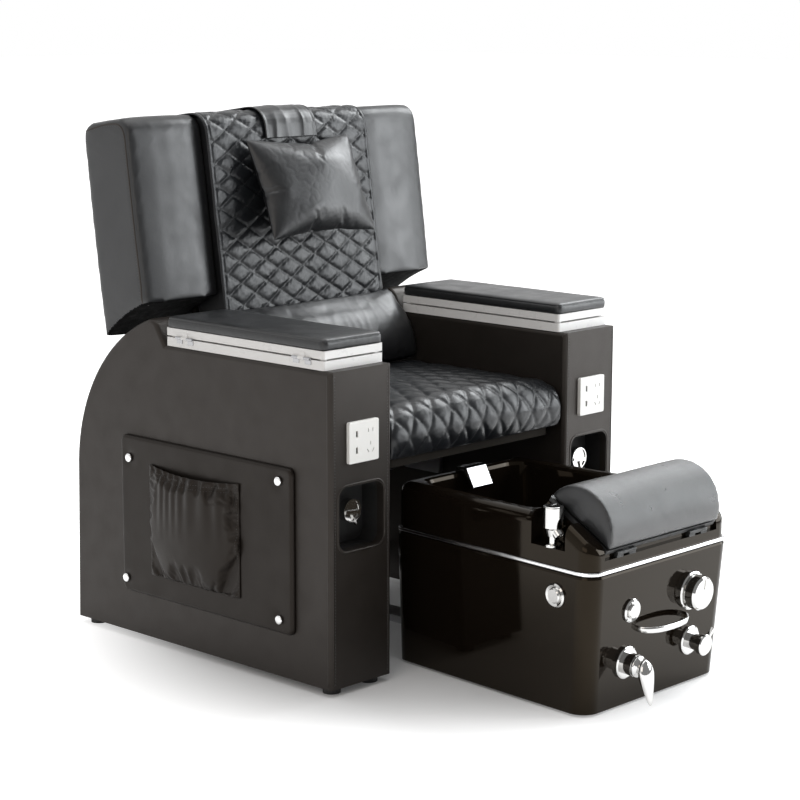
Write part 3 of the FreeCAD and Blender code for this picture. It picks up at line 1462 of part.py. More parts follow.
def skirt_section(owner, level, inset):
    """Plan of the skirt at a height, leaning in towards the floor."""
    share = (s.trim_z - level) / (s.trim_z - s.skirt_bottom)
    return basin_plan(sketch_on(owner, "XY_Plane", level), inset, s.tub_draft * share,
                      s.tub_side_draft * share)


def tub_skirt():
    """The leaning outer wall below the trim, open above and below."""
    owner = body("tub_skirt")
    shoulder = s.skirt_wall * 0.7
    top = s.trim_z - SPLIT_GAP
    wall = [skirt_section(owner, s.skirt_bottom, as_size(0)),
            skirt_section(owner, top - shoulder, as_size(0)),
            skirt_section(owner, top - shoulder * 0.3, shoulder * 0.3),
            skirt_section(owner, top, shoulder)]
    loft("AdditiveLoft", owner, wall)
    hollow = [skirt_section(owner, s.skirt_bottom - SMALL_OVERCUT, s.skirt_wall),
              skirt_section(owner, top + SMALL_OVERCUT, s.skirt_wall)]
    loft("SubtractiveLoft", owner, hollow)
    holes = sketch_on(owner, "XZ_Plane", s.tub_reach - 60)
    for x, z, diameter in front_holes():
        circle(holes, x, z, diameter + 2)
    pocket(owner, holes, as_size(70), reverse=True)
    side_hole = sketch_on(owner, "YZ_Plane", -half_at(AIR_SIDE_Y) + 30)
    circle(side_hole, AIR_SIDE_Y, s.air_side_z, s.air_barrel + 2)
    pocket(owner, side_hole, as_size(40))
    notch = sketch_on(owner, "XZ_Plane", -s.tub_back - SMALL_OVERCUT)
    half = s.guide_width / 2 + 5
    rectangle(notch, -half, half, as_size(0), s.base_board_z + 5)
    pocket(owner, notch, s.skirt_wall + 2 * SMALL_OVERCUT, reverse=True)
    in_basin(owner)
    return keep(owner, "tub_skirt")


def tub_trim():
    """The silver band between the skirt and the basin."""
    owner = body("tub_trim")
    outer = basin_plan(sketch_on(owner, "XY_Plane"), as_size(0), as_size(0), as_size(0))
    band = pad(owner, outer, s.trim_height)
    round_edges(owner, band, s.trim_height * 0.3,
                lambda edge: flat_in(edge, "Z", s.trim_height) or flat_in(edge, "Z", 0))
    inner = basin_plan(sketch_on(owner, "XY_Plane"), s.trim_width, as_size(0), as_size(0))
    pocket(owner, inner, s.trim_height, reverse=True)
    in_basin(owner, 0, s.trim_z)
    return keep(owner, "tub_trim")


def cavity_plan(sketch, inset, wall, rounding):
    """Plan of the cavity; inset narrows it to its floor, wall widens it to the bowl."""
    front_y = -CAVITY_FRONT - wall
    rear_y = s.tub_back - s.rim_back_width - inset + wall
    front_half = half_at(front_y, s.rim_width + s.basin_inset + inset - wall)
    rear_half = half_at(rear_y, s.rim_width + s.basin_inset + inset - wall)
    return outline(sketch, [
        corner(-front_half, front_y, rounding),
        corner(front_half, front_y, rounding),
        corner(rear_half, rear_y, rounding),
        corner(-rear_half, rear_y, rounding),
    ])


def saddle_height(y):
    """Height of the footrest's sloping seat at a depth from the arm front."""
    slope = sine(s.footrest_tilt) / cosine(s.footrest_tilt)
    return s.footrest_z - SPLIT_GAP / cosine(s.footrest_tilt) + (y - FOOTREST_Y) * slope


def basin_outer(owner):
    """The basin's outside: a block cut to the swoop of the cheeks and the flat rim."""
    top = s.saddle_top + 4
    block = pad(owner, basin_plan(sketch_on(owner, "XY_Plane", s.trim_z + s.trim_height),
                                  s.basin_inset, as_size(0), as_size(0)),
                top - s.trim_z - s.trim_height)
    front = -s.tub_reach + s.basin_inset
    over = top + 10
    above = sketch_on(owner, "YZ_Plane")
    outline(above, [
        corner(front - 20, s.cheek_top - s.cheek_rounding),
        corner(front, s.cheek_top - s.cheek_rounding),
        corner(front, s.cheek_top, s.cheek_rounding),
        corner(-SADDLE_BACK, s.saddle_top, as_size(20)),
        corner(-SADDLE_BACK + 22, s.rim_z, as_size(30)),
        corner(s.tub_back + 10, s.rim_z),
        corner(s.tub_back + 10, over),
        corner(front - 20, over),
    ])
    cut = pocket(owner, above, 2 * s.tub_half_front + 10, "Symmetric")

    def on_top_border(edge):
        box = edge.BoundBox
        across = box.YLength < 0.01 and box.ZLength < 0.01
        upright = box.XLength < 0.01 and box.YLength < 0.01
        return edge.CenterOfMass.z > float(s.cheek_top) - float(s.cheek_rounding) + 1 \
            and not across and not upright

    round_edges(owner, cut, s.rim_rounding, on_top_border)
    return block


def tub_basin():
    """The acrylic basin: cheeks, footrest channel, faucet pocket, rim and bowl."""
    owner = body("tub_basin")
    basin_outer(owner)
    under = s.rim_z - s.basin_wall * 1.5
    channel_half = s.footrest_length / 2 + s.footrest_side_gap
    channel = sketch_on(owner, "YZ_Plane")
    step_y = FOOTREST_Y + 2 * s.footrest_knuckle
    back_y = -CAVITY_FRONT + 8
    outline(channel, [
        corner(-s.tub_reach - 20, s.ledge_z),
        corner(step_y, s.ledge_z),
        corner(step_y, saddle_height(step_y)),
        corner(back_y, saddle_height(back_y)),
        corner(back_y, s.saddle_top + 50),
        corner(-s.tub_reach - 20, s.saddle_top + 50),
    ])
    pocket(owner, channel, 2 * channel_half, "Symmetric")
    niche = sketch_on(owner, "XY_Plane", s.faucet_pocket_floor)
    rectangle(niche, -s.tub_half_front - 10, -channel_half + SMALL_OVERCUT,
              -FAUCET_POCKET_FRONT, -FAUCET_POCKET_FRONT + s.faucet_pocket_length)
    pocket(owner, niche, as_size(110), reverse=True)
    under_saddle = sketch_on(owner, "YZ_Plane")
    low = s.trim_z + s.trim_height
    outline(under_saddle, [
        corner(-s.tub_reach + 34, low - SMALL_OVERCUT),
        corner(-CAVITY_FRONT - 24, low - SMALL_OVERCUT),
        corner(-CAVITY_FRONT - 24, saddle_height(-CAVITY_FRONT - 24) - 9),
        corner(-s.tub_reach + 34, saddle_height(-s.tub_reach + 34) - 9),
    ])
    pocket(owner, under_saddle, 2 * channel_half - 24, "Symmetric")
    rim_hollow = sketch_on(owner, "XY_Plane", low - SMALL_OVERCUT)
    hollow_front = -CAVITY_FRONT + 20
    edge_inset = s.basin_inset + s.basin_wall * 1.3
    rear_y = s.tub_back - edge_inset
    outline(rim_hollow, [
        corner(-half_at(hollow_front, edge_inset), hollow_front),
        corner(half_at(hollow_front, edge_inset), hollow_front),
        corner(half_at(rear_y, edge_inset), rear_y, s.tub_rear_corner - edge_inset),
        corner(-half_at(rear_y, edge_inset), rear_y, s.tub_rear_corner - edge_inset),
    ])
    pocket(owner, rim_hollow, under - low - s.rim_rounding * 0.3, reverse=True)
    bowl_low = cavity_plan(sketch_on(owner, "XY_Plane", s.cavity_floor - s.basin_wall),
                           s.cavity_draft, s.basin_wall, s.cavity_corner + s.basin_wall)
    bowl_high = cavity_plan(sketch_on(owner, "XY_Plane", under), as_size(0), s.basin_wall,
                            s.cavity_corner + s.basin_wall)
    loft("AdditiveLoft", owner, [bowl_low, bowl_high])
    lip = s.rim_rounding * 0.45
    levels = [(s.cavity_floor, s.cavity_draft), (s.rim_z - lip, as_size(0)),
              (s.rim_z - lip * 0.3, -lip * 0.3), (s.rim_z + 0.5, -lip)]
    mouth = [cavity_plan(sketch_on(owner, "XY_Plane", level), inset, as_size(0),
                         s.cavity_corner) for level, inset in levels]
    cavity = loft("SubtractiveLoft", owner, mouth)
    floor = float(s.cavity_floor)
    round_edges(owner, cavity, s.cavity_corner * 0.4, lambda edge: flat_in(edge, "Z", floor))
    drain_y = -CAVITY_FRONT / 2 + s.tub_back / 4
    drain = circle(sketch_on(owner, "XY_Plane", s.cavity_floor + SMALL_OVERCUT), 0, drain_y,
                   s.strainer_diameter * 0.75)
    pocket(owner, drain, s.basin_wall + 2 * SMALL_OVERCUT)
    jet = circle(sketch_on(owner, "XZ_Plane", CAVITY_FRONT - SMALL_OVERCUT), 0, s.jet_z,
                 s.jet_bore + 1)
    pocket(owner, jet, s.basin_wall + 30, reverse=True)
    neck = circle(sketch_on(owner, "XY_Plane", s.faucet_pocket_floor + SMALL_OVERCUT),
                  s.faucet_x, FAUCET_Y, s.faucet_neck + 2 * STEM_FIT)
    pocket(owner, neck, as_size(60))
    in_basin(owner)
    return keep(owner, "tub_basin")


def tub_base():
    """The basin's floor board with two strips that straddle the guide rail."""
    owner = body("tub_base")
    share = (s.trim_z - s.base_board_z) / (s.trim_z - s.skirt_bottom)
    plan = basin_plan(sketch_on(owner, "XY_Plane"), s.skirt_wall + SPLIT_GAP,
                      s.tub_draft * share, s.tub_side_draft * share)
    pad(owner, plan, s.base_board_thickness)
    strips = sketch_on(owner, "XY_Plane")
    inner = s.guide_width / 2 + s.guide_play
    for left, right in ((-inner - 18, -inner), (inner, inner + 18)):
        rectangle(strips, left, right, as_size(-100), s.tub_back - 14)
    pad(owner, strips, s.guide_height, reverse=True)
    in_basin(owner, 0, s.base_board_z)
    return keep(owner, "tub_base")


def tub_glides():
    glides = []
    glide_x = s.tub_half_back - s.glide_inset
    for x in (-glide_x, glide_x):
        for y in (-s.tub_reach + 80, s.tub_back - 52):
            glides.append(part_cylinder("glide", s.tub_shift + x, y, 0, s.glide_diameter,
                                        s.base_board_z))
    return keep(group("glide_group", glides), "tub_glides")


def drain_place():
    """Y of the drain: the middle of the cavity floor."""
    return -CAVITY_FRONT / 2 + s.tub_back / 4


def drain_strainer():
    owner = body("drain_strainer")
    plate = circle(sketch_on(owner, "XY_Plane"), 0, 0, s.strainer_diameter)
    disc = pad(owner, plate, as_size(4))
    round_edges(owner, disc, as_size(1.5), lambda edge: flat_in(edge, "Z", 4))
    collar = circle(sketch_on(owner, "XY_Plane"), 0, 0, s.strainer_diameter * 0.75 - 1)
    pad(owner, collar, s.basin_wall, reverse=True)
    hole = sketch_on(owner, "XY_Plane", 4 + SMALL_OVERCUT)
    circle(hole, s.strainer_diameter * 0.22, 0, as_size(9))
    cut = pocket(owner, hole, as_size(30))
    pattern(owner, cut, "Z_Axis", 6)
    in_basin(owner, drain_place(), s.cavity_floor + SPLIT_GAP)
    return keep(owner, "drain_strainer")


def waterfall_spout():
    """A bent plate on the rear rim that lets water fall into the cavity."""
    owner = body("waterfall_spout")
    side_view = sketch_on(owner, "YZ_Plane")
    outline(side_view, [
        corner(66, 0.2),
        corner(66, s.spout_rise - 4, as_size(3)),
        corner(40, s.spout_rise, as_size(3)),
        corner(33, s.spout_rise - 3, as_size(3)),
        corner(12, -s.spout_drop + 4),
        corner(16, -s.spout_drop),
        corner(38, -2, as_size(2)),
        corner(42, 0.2),
    ])
    pad(owner, side_view, s.spout_width, "Symmetric")
    in_basin(owner, 0, s.rim_z)
    return keep(owner, "waterfall_spout")


# Faucet

def faucet_stem():
    """Neck with its base flange and the thinner pin that the head turns on."""
    owner = body("faucet_stem")
    floor = s.faucet_pocket_floor
    neck = s.faucet_neck / 2
    shoulder = s.faucet_neck_top - 10 - floor
    tail = floor - s.trim_z - s.trim_height - SPLIT_GAP
    profile = sketch_on(owner, "XZ_Plane")
    outline(profile, [
        corner(0, -tail),
        corner(neck, -tail),
        corner(neck, SPLIT_GAP),
        corner(s.faucet_base / 2, SPLIT_GAP),
        corner(s.faucet_base / 2, s.faucet_base_height - 1.5),
        corner(s.faucet_base / 2 - 2, s.faucet_base_height),
        corner(neck, s.faucet_base_height),
        corner(neck, shoulder),
        corner(neck - 3, shoulder),
        corner(neck - 3, shoulder + 36),
        corner(0, shoulder + 36),
    ])
    turn("Revolution", owner, profile)
    place(owner, s.tub_shift + s.faucet_x, FAUCET_Y, floor)
    return keep(owner, "faucet_stem")


def faucet_head():
    """A drum over a tapered foot with a slanting outlet, free to turn on its pin."""
    owner = body("faucet_drum")
    low = s.faucet_neck_top - 10 + SPLIT_GAP
    height = s.faucet_head_top - low
    radius = s.faucet_head / 2
    pin = s.faucet_neck / 2 - 3 + s.shaft_clearance
    profile = sketch_on(owner, "XZ_Plane")
    outline(profile, [
        corner(pin, 0),
        corner(radius * 0.6, 0),
        corner(radius * 0.78, 14),
        corner(radius, 18),
        corner(radius, height, as_size(3)),
        corner(0, height),
        corner(0, 37),
        corner(pin, 37),
    ])
    turn("Revolution", owner, profile)
    x, y = s.tub_shift + s.faucet_x, FAUCET_Y
    place(owner, x, y, low)
    outlet_z = low + 19
    spot = 0.5 * math.sqrt(2)
    collar = part_cylinder("outlet_collar", x, y - 8 * spot, outlet_z - 8 * spot, as_size(24),
                           as_size(17), (1, 0, 0), as_size(135))
    bore = part_cylinder("outlet_bore", x, y - 17 * spot, outlet_z - 17 * spot, as_size(17),
                         as_size(12), (1, 0, 0), as_size(135))
    socket = part_cylinder("pin_socket", x, y, low - SMALL_OVERCUT, 2 * pin,
                           37 + SMALL_OVERCUT)
    neck_room = part_cylinder("neck_room", x, y, low - 12, s.faucet_neck + 4 * SPLIT_GAP,
                              as_size(12))
    whole = doc.addObject("Part::Fuse", "faucet_whole")
    whole.Base = owner
    whole.Tool = collar
    hollows = doc.addObject("Part::MultiFuse", "faucet_hollows")
    hollows.Shapes = [bore, socket, neck_room]
    head = doc.addObject("Part::Cut", "faucet_head")
    head.Base = whole
    head.Tool = hollows
    return keep(head, "faucet_head")


# Water jet in the front wall of the cavity; Y = 0 is the wall's inner face

def in_jet(thing):
    return in_basin(thing, -CAVITY_FRONT, s.jet_z)


def jet_cover():
    """A perforated cap over the impeller."""
    owner = body("jet_cover")
    outer, inner = s.jet_diameter / 2, s.impeller_diameter / 2 + 3
    profile = sketch_on(owner, "XY_Plane")
    outline(profile, [
        corner(inner, SPLIT_GAP),
        corner(outer, SPLIT_GAP),
        corner(outer, s.jet_cap_depth - 6),
        corner(outer - 7, s.jet_cap_depth),
        corner(0, s.jet_cap_depth),
        corner(0, s.jet_cap_depth - 3),
        corner(inner, s.jet_cap_depth - 3),
    ])
    turn("Revolution", owner, profile)
    hole = sketch_on(owner, "XZ_Plane", -s.jet_cap_depth - SMALL_OVERCUT)
    circle(hole, s.impeller_diameter * 0.3, 0, as_size(9))
    cut = pocket(owner, hole, as_size(6), reverse=True)
    pattern(owner, cut, "Y_Axis", 8)
    in_jet(owner)
    return keep(owner, "jet_cover")


def jet_motor():
    """The pump motor behind the wall with the bearing of the impeller shaft."""
    owner = body("jet_motor")
    profile = sketch_on(owner, "XY_Plane")
    back = -s.basin_wall - s.jet_motor_length
    outline(profile, [
        corner(4 + s.shaft_clearance, 0),
        corner(s.jet_bore / 2, 0),
        corner(s.jet_bore / 2, -s.basin_wall - 12),
        corner(s.jet_bore / 2 - 6, -s.basin_wall - 12),
        corner(s.jet_bore / 2 - 6, back),
        corner(0, back),
        corner(0, -40),
        corner(4 + s.shaft_clearance, -40),
    ])
    turn("Revolution", owner, profile)
    in_jet(owner)
    return keep(owner, "jet_motor")


def jet_impeller():
    owner = body("jet_impeller")
    profile = sketch_on(owner, "XY_Plane")
    outline(profile, [
        corner(0, -39),
        corner(4, -39),
        corner(4, 1),
        corner(s.impeller_diameter / 2, 1),
        corner(s.impeller_diameter / 2, 3),
        corner(8, 3),
        corner(8, s.jet_cap_depth - 4),
        corner(0, s.jet_cap_depth - 4),
    ])
    turn("Revolution", owner, profile)
    blade = sketch_on(owner, "XZ_Plane", as_size(-3))
    rectangle(blade, as_size(6), s.impeller_diameter / 2 - 1, as_size(-1.2), as_size(1.2))
    vane = pad(owner, blade, s.jet_cap_depth - 8, reverse=True)
    pattern(owner, vane, "Y_Axis", 6)
    in_jet(owner)
    return keep(owner, "jet_impeller")


# Footrest

def on_footrest(thing):
    """Puts a piece drawn from the hinge axis onto the sloping saddle."""
    return place(thing, s.tub_shift, FOOTREST_Y, s.footrest_z, (1, 0, 0), s.footrest_tilt)


def footrest_hinges():
    """Fixed halves of two hinges: outer knuckles, the pin and the leaf on the ledge."""
    halves = []
    third = s.footrest_hinge_length / 3
    for side in FOOT_SIDES:
        owner = body("footrest_hinge")
        middle = side * s.footrest_hinge_offset
        for start in (middle - 1.5 * third, middle + 0.5 * third):
            tube = circle(sketch_on(owner, "YZ_Plane", start), 0, 0, 2 * s.footrest_knuckle)
            pad(owner, tube, third)
            leaf = sketch_on(owner, "YZ_Plane", start)
            rectangle(leaf, as_size(-2), 2 * s.footrest_knuckle - SPLIT_GAP,
                      s.ledge_z - s.footrest_z + SPLIT_GAP, as_size(-1))
            pad(owner, leaf, third)
        pin = circle(sketch_on(owner, "YZ_Plane", middle - 1.5 * third), 0, 0, s.footrest_knuckle)
        pad(owner, pin, s.footrest_hinge_length)
        in_basin(owner, FOOTREST_Y, s.footrest_z)
        halves.append(owner)
    return keep(group("footrest_hinge_group", halves), "footrest_hinges")


def footrest_board():
    """The board under the pad with the middle knuckle of both hinges."""
    owner = body("footrest_board")
    half = s.footrest_length / 2 - 3
    plan = sketch_on(owner, "XY_Plane")
    rectangle(plan, -half, half, s.footrest_knuckle + SPLIT_GAP, s.footrest_chord - 4,
              s.footrest_knuckle)
    pad(owner, plan, s.footrest_board)
    third = s.footrest_hinge_length / 3
    for side in FOOT_SIDES:
        start = side * s.footrest_hinge_offset - third / 2 + s.knuckle_gap
        length = third - 2 * s.knuckle_gap
        leaf = sketch_on(owner, "YZ_Plane", start)
        rectangle(leaf, as_size(0), s.footrest_knuckle + 4, as_size(0), s.footrest_knuckle)
        pad(owner, leaf, length)
        tube = circle(sketch_on(owner, "YZ_Plane", start), 0, 0, 2 * s.footrest_knuckle)
        pad(owner, tube, length)
        bore = circle(sketch_on(owner, "YZ_Plane", start - SMALL_OVERCUT), 0, 0,
                      s.footrest_knuckle + 2 * s.hinge_play)
        pocket(owner, bore, length + 2 * SMALL_OVERCUT, reverse=True)
    on_footrest(owner)
    return keep(owner, "footrest_board")


def footrest_wire(x, inset):
    """Cross-section of the pad: a flat side and one round sweep over it."""
    low = float(s.footrest_board) + SPLIT_GAP
    rise = float(s.footrest_rise) - SPLIT_GAP
    half = float(s.footrest_chord) / 2
    radius = (half * half + rise * rise) / (2 * rise)
    middle_y = half - 2
    middle_z = low + rise - radius
    radius = radius - inset
    reach = math.sqrt(radius * radius - (low - middle_z) ** 2)
    first = math.atan2(low - middle_z, reach)

    def around(angle):
        return vector(x, middle_y + radius * math.cos(angle), middle_z + radius * math.sin(angle))

    top = around(math.pi / 2)
    rear, front = around(first), around(math.pi - first)
    quarter = (math.pi / 2 + first) / 2
    return Part.Wire([
        line_edge(front, rear),
        arc_edge(rear, around(quarter), top),
        arc_edge(top, around(math.pi - quarter), front),
    ])


def footrest_pad():
    half = float(s.footrest_length) / 2
    wires = []
    for x, inset in drawn_in(half, 4, (-0.5, 0, 0.5)):
        wires.append(footrest_wire(x, inset))
    piece = soft_shape("footrest_pad", loft_shape(wires), s.tub_shift, FOOTREST_Y,
                       s.footrest_z, (1, 0, 0), s.footrest_tilt)
    return keep(piece, "footrest_pad")


# Controls; each is drawn from the wall's outer face, outwards along -Y

def turned_piece(name, corners):
    """A body turned about its Y axis from a profile of radius and depth."""
    owner = body(name)
    outline(sketch_on(owner, "XY_Plane"), corners)
    turn("Revolution", owner, owner.Group[-1])
    return owner


def on_side_wall(thing):
    """Puts the side air button on the basin's left wall, square to it."""
    lean = math.degrees(math.atan(float(s.tub_side_draft) / float(s.trim_z - s.skirt_bottom)))
    taper = (s.tub_half_front - s.tub_half_back) / (s.tub_reach + s.tub_back)
    swing = -90 - math.degrees(math.atan(float(taper)))
    x = -half_at(AIR_SIDE_Y) + s.tub_side_draft * (s.trim_z - s.air_side_z) / (
        s.trim_z - s.skirt_bottom)
    place(thing, s.tub_shift + x, AIR_SIDE_Y, s.air_side_z)
    turned = FreeCAD.Rotation(FreeCAD.Vector(0, 0, 1), swing).multiply(
        FreeCAD.Rotation(FreeCAD.Vector(1, 0, 0), lean))
    thing.Placement = FreeCAD.Placement(thing.Placement.Base, turned)
    return thing


def air_bezel():
    bore = s.air_button / 2 + s.shaft_clearance
    barrel = s.air_barrel / 2
    return turned_piece("air_bezel", [
        corner(0, 30),
        corner(barrel, 30),
        corner(barrel, -SPLIT_GAP),
        corner(s.air_bezel / 2, -SPLIT_GAP),
        corner(s.air_bezel / 2, -4),
        corner(s.air_bezel / 2 - 3, -7),
        corner(bore, -5),
        corner(bore, 27),
        corner(0, 27),
    ])


def air_cap(name):
    radius = s.air_button / 2
    return turned_piece(name, [
        corner(0, 14),
        corner(radius, 14),
        corner(radius, -8),
        corner(radius - 2, -10),
        corner(0, -10),
    ])


def air_buttons():
    """Two bellows buttons: on the front wall and on the left wall."""
    front_bezel = on_front_wall(air_bezel(), s.air_front_x, s.air_front_z)
    side_bezel = on_side_wall(air_bezel())
    keep(group("bezel_group", [front_bezel, side_bezel]), "air_button_bezels")
    front = on_front_wall(air_cap("air_cap_front"), s.air_front_x, s.air_front_z)
    keep(front, "air_button_front")
    return keep(on_side_wall(air_cap("air_cap_side")), "air_button_side")


def valve_body(name, flange, flange_depth, neck, neck_reach):
    """A flange with a neck outside and a bored barrel through the wall."""
    barrel = s.valve_barrel / 2
    bore = s.valve_stem / 2 + s.shaft_clearance
    return turned_piece(name, [
        corner(bore, 28),
        corner(barrel, 28),
        corner(barrel, -SPLIT_GAP),
        corner(flange / 2, -SPLIT_GAP),
        corner(flange / 2, -flange_depth + 2),
        corner(flange / 2 - 3, -flange_depth),
        corner(neck / 2, -flange_depth),
        corner(neck / 2, -neck_reach),
        corner(bore, -neck_reach),
    ])


def diverter():
    collar = valve_body("diverter_collar", s.diverter_collar, as_size(8),
                        s.diverter_collar - 20, as_size(8.5))
    keep(on_front_wall(collar, s.diverter_x, s.diverter_z), "diverter_collar")
    radius = s.diverter_knob / 2
    face = -s.diverter_reach
    knob = turned_piece("diverter_knob", [
        corner(0, 26),
        corner(s.valve_stem / 2, 26),
        corner(s.valve_stem / 2, -8.8),
        corner(radius - 6, -8.8),
        corner(radius, -14),
        corner(radius, face + 5),
        corner(radius - 4, face),
        corner(0, face),
    ])
    mark = sketch_on(knob, "XZ_Plane", s.diverter_reach + SMALL_OVERCUT)
    rectangle(mark, as_size(-2.5), as_size(2.5), as_size(10), radius - 6)
    pocket(knob, mark, 2.5 + SMALL_OVERCUT)
    return keep(on_front_wall(knob, s.diverter_x, s.diverter_z), "diverter_knob")


def pull_handle():
    """The bow handle that the basin is pulled out by."""
    owner = body("pull_handle")
    half = s.handle_width / 2
    thick = s.handle_thickness
    bow = sketch_on(owner, "XY_Plane")
    outline(bow, [
        corner(-half, -SPLIT_GAP),
        corner(-half, -s.handle_reach, as_size(30)),
        corner(half, -s.handle_reach, as_size(30)),
        corner(half, -SPLIT_GAP),
        corner(half - thick, -SPLIT_GAP),
        corner(half - thick, -s.handle_reach + thick, 30 - thick),
        corner(-half + thick, -s.handle_reach + thick, 30 - thick),
        corner(-half + thick, -SPLIT_GAP),
    ])
    pad(owner, bow, s.handle_band, "Symmetric")
    feet = sketch_on(owner, "XZ_Plane", SPLIT_GAP)
    for middle in (-half + thick / 2, half - thick / 2):
        rectangle(feet, middle - 11, middle + 11, -s.handle_band * 0.7, s.handle_band * 0.7,
                  as_size(4))
    pad(owner, feet, as_size(3))
    return keep(on_front_wall(owner, s.handle_x, s.handle_z), "pull_handle")


def drain_valve():
    housing = valve_body("drain_valve_body", s.drain_flange, as_size(6), s.drain_neck,
                         s.drain_reach - 12)
    keep(on_front_wall(housing, s.drain_x, s.drain_z), "drain_valve_body")
    radius = s.drain_disc / 2
    face = -s.drain_reach
    disc = turned_piece("drain_valve_lever", [
        corner(0, 26),
        corner(s.valve_stem / 2, 26),
        corner(s.valve_stem / 2, -s.drain_reach + 12 - SPLIT_GAP),
        corner(radius, -s.drain_reach + 12 - SPLIT_GAP),
        corner(radius, face + 2),
        corner(radius - 2, face),
        corner(0, face),
    ])
    lever = sketch_on(disc, "XZ_Plane", s.drain_reach - 10)
    turned_rectangle(lever, (float(radius) + 6) * 0.7, (float(radius) + 6) * 0.7, 7,
                     float(s.drain_lever), -45)
    pad(disc, lever, as_size(7))
    return keep(on_front_wall(disc, s.drain_x, s.drain_z), "drain_valve_lever")


def mixer():
    housing = valve_body("mixer_body", s.mixer_flange, as_size(8), s.mixer_neck, s.mixer_reach)
    keep(on_front_wall(housing, s.mixer_x, s.mixer_z), "mixer_body")
    radius = s.mixer_neck / 2
    base = -s.mixer_reach - SPLIT_GAP
    tip = -MIXER_TIP
    lever = turned_piece("mixer_lever", [
        corner(0, 26),
        corner(s.valve_stem / 2, 26),
        corner(s.valve_stem / 2, base),
        corner(radius, base),
        corner(radius, base - 10),
        corner(radius * 0.75, base - 17),
        corner(radius * 0.35, base - 20),
        corner(0, base - 20),
    ])
    side_view = sketch_on(lever, "YZ_Plane")
    outline(side_view, [
        corner(base - 2, -radius * 0.2),
        corner(base - 17, -radius * 0.2),
        corner(base - 19, -radius * 0.7),
        corner(tip, -s.mixer_lever + 14, as_size(4)),
        corner(tip + 4, -s.mixer_lever, as_size(4)),
        corner(tip + 14, -s.mixer_lever + 6, as_size(4)),
        corner(base - 2, -radius * 0.9),
    ])
    pad(lever, side_view, radius, "Symmetric")
    return keep(on_front_wall(lever, s.mixer_x, s.mixer_z), "mixer_lever")


def build_chair():
    arm_casing(-1, "arm_casing_left")
    arm_casing(1, "arm_casing_right")
    chair_feet()
    side_panel(-1, "side_panel_left")
    side_panel(1, "side_panel_right")
    panel_screws()
    keep(group("pocket_group", [side_pocket(-1), side_pocket(1)]), "side_pockets")
    socket_plates()
    recess_cups()
    recess_knob(-1, "recess_knob_left")
    recess_knob(1, "recess_knob_right")
    keep(group("armrest_base_group", [armrest_base(-1), armrest_base(1)]), "armrest_bases")
    armrest_hinges()
    armrest_board(-1, "armrest_board_left")
    armrest_board(1, "armrest_board_right")
    armrest_pad(-1, "armrest_pad_left")
    armrest_pad(1, "armrest_pad_right")
    cross_rails()
    seat_deck()
    seat_cushion()
    rear_cover()
    pivot_brackets()
    recline_drive()
    guide_rail()


def build_back():
    recline_shaft()
    back_side_plates()
    back_board()
    back_rear_cover()
    back_cushion()
    back_wing(-1, "back_wing_left")
    back_wing(1, "back_wing_right")
    quilted_cover()
    pillow_strap()
    head_pillow()
    lumbar_cushion()


def build_basin():
    tub_skirt()
    tub_trim()
    tub_basin()
    tub_base()
    tub_glides()
    drain_strainer()
    waterfall_spout()
    faucet_stem()
    faucet_head()
    jet_cover()
    jet_motor()
    jet_impeller()
    footrest_hinges()
    footrest_board()
    footrest_pad()
    air_buttons()
    diverter()
    pull_handle()
    drain_valve()
    mixer()


def check_everything():
    """Stops the build where an object failed or a piece has no sound solid."""
    for item in doc.Objects:
        if "Invalid" in item.State or "Error" in item.State:
            raise RuntimeError("%s could not be built: %s" % (item.Name, item.State))
    for node in nodes:
        if node.Shape.isNull() or not node.Shape.isValid() or not node.Shape.Solids:
            raise RuntimeError("%s has no valid solid" % node.Label)
    labels = [node.Label for node in nodes]
    if len(set(labels)) != len(labels):
        raise RuntimeError("two pieces share a label")


def export_everything():
    os.makedirs("parts", exist_ok=True)
    for node in nodes:
        node.Shape.exportStep(os.path.join("parts", node.Label + ".step"))
    print("%d pieces written" % len(nodes))


build_chair()
build_back()
build_basin()
doc.recompute()
check_everything()
export_everything()
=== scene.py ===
import math

import bmesh
import bpy
from mathutils import Matrix, Vector, noise
from mathutils.bvhtree import BVHTree

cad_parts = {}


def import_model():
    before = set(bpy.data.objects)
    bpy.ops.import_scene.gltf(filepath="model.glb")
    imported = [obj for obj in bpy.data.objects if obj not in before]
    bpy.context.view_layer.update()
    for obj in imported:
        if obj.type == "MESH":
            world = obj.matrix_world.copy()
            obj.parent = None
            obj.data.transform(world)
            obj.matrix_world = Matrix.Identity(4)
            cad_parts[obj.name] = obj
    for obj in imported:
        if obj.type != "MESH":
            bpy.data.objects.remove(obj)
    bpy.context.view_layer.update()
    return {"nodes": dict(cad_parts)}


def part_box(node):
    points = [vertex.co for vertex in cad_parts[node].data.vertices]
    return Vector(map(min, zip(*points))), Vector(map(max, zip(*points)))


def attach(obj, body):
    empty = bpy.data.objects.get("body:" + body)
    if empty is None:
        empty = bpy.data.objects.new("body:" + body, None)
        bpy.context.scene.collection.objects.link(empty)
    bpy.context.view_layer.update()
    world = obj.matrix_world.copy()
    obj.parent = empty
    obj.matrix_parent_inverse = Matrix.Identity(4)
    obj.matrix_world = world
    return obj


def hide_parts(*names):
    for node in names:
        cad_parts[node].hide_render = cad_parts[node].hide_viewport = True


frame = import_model()

# Places of the chair, in millimetres from the front of the arms, as in the CAD source.
CENTRE_Y = -148.67067
RECLINE = (431.0, 364.0)
LEAN = math.radians(8.1)
REST = (-474.0, 331.0)
TILT = math.radians(31.0)
TUB_X = 20.0
ARM_MIDDLE, ARM_OUTSIDE, ARM_INSIDE = 369.5, 458, 281
PANEL_FACE = 468.0
SIDES = ((-1, "left"), (1, "right"))
FORWARDS = Vector((0, -1, 0))


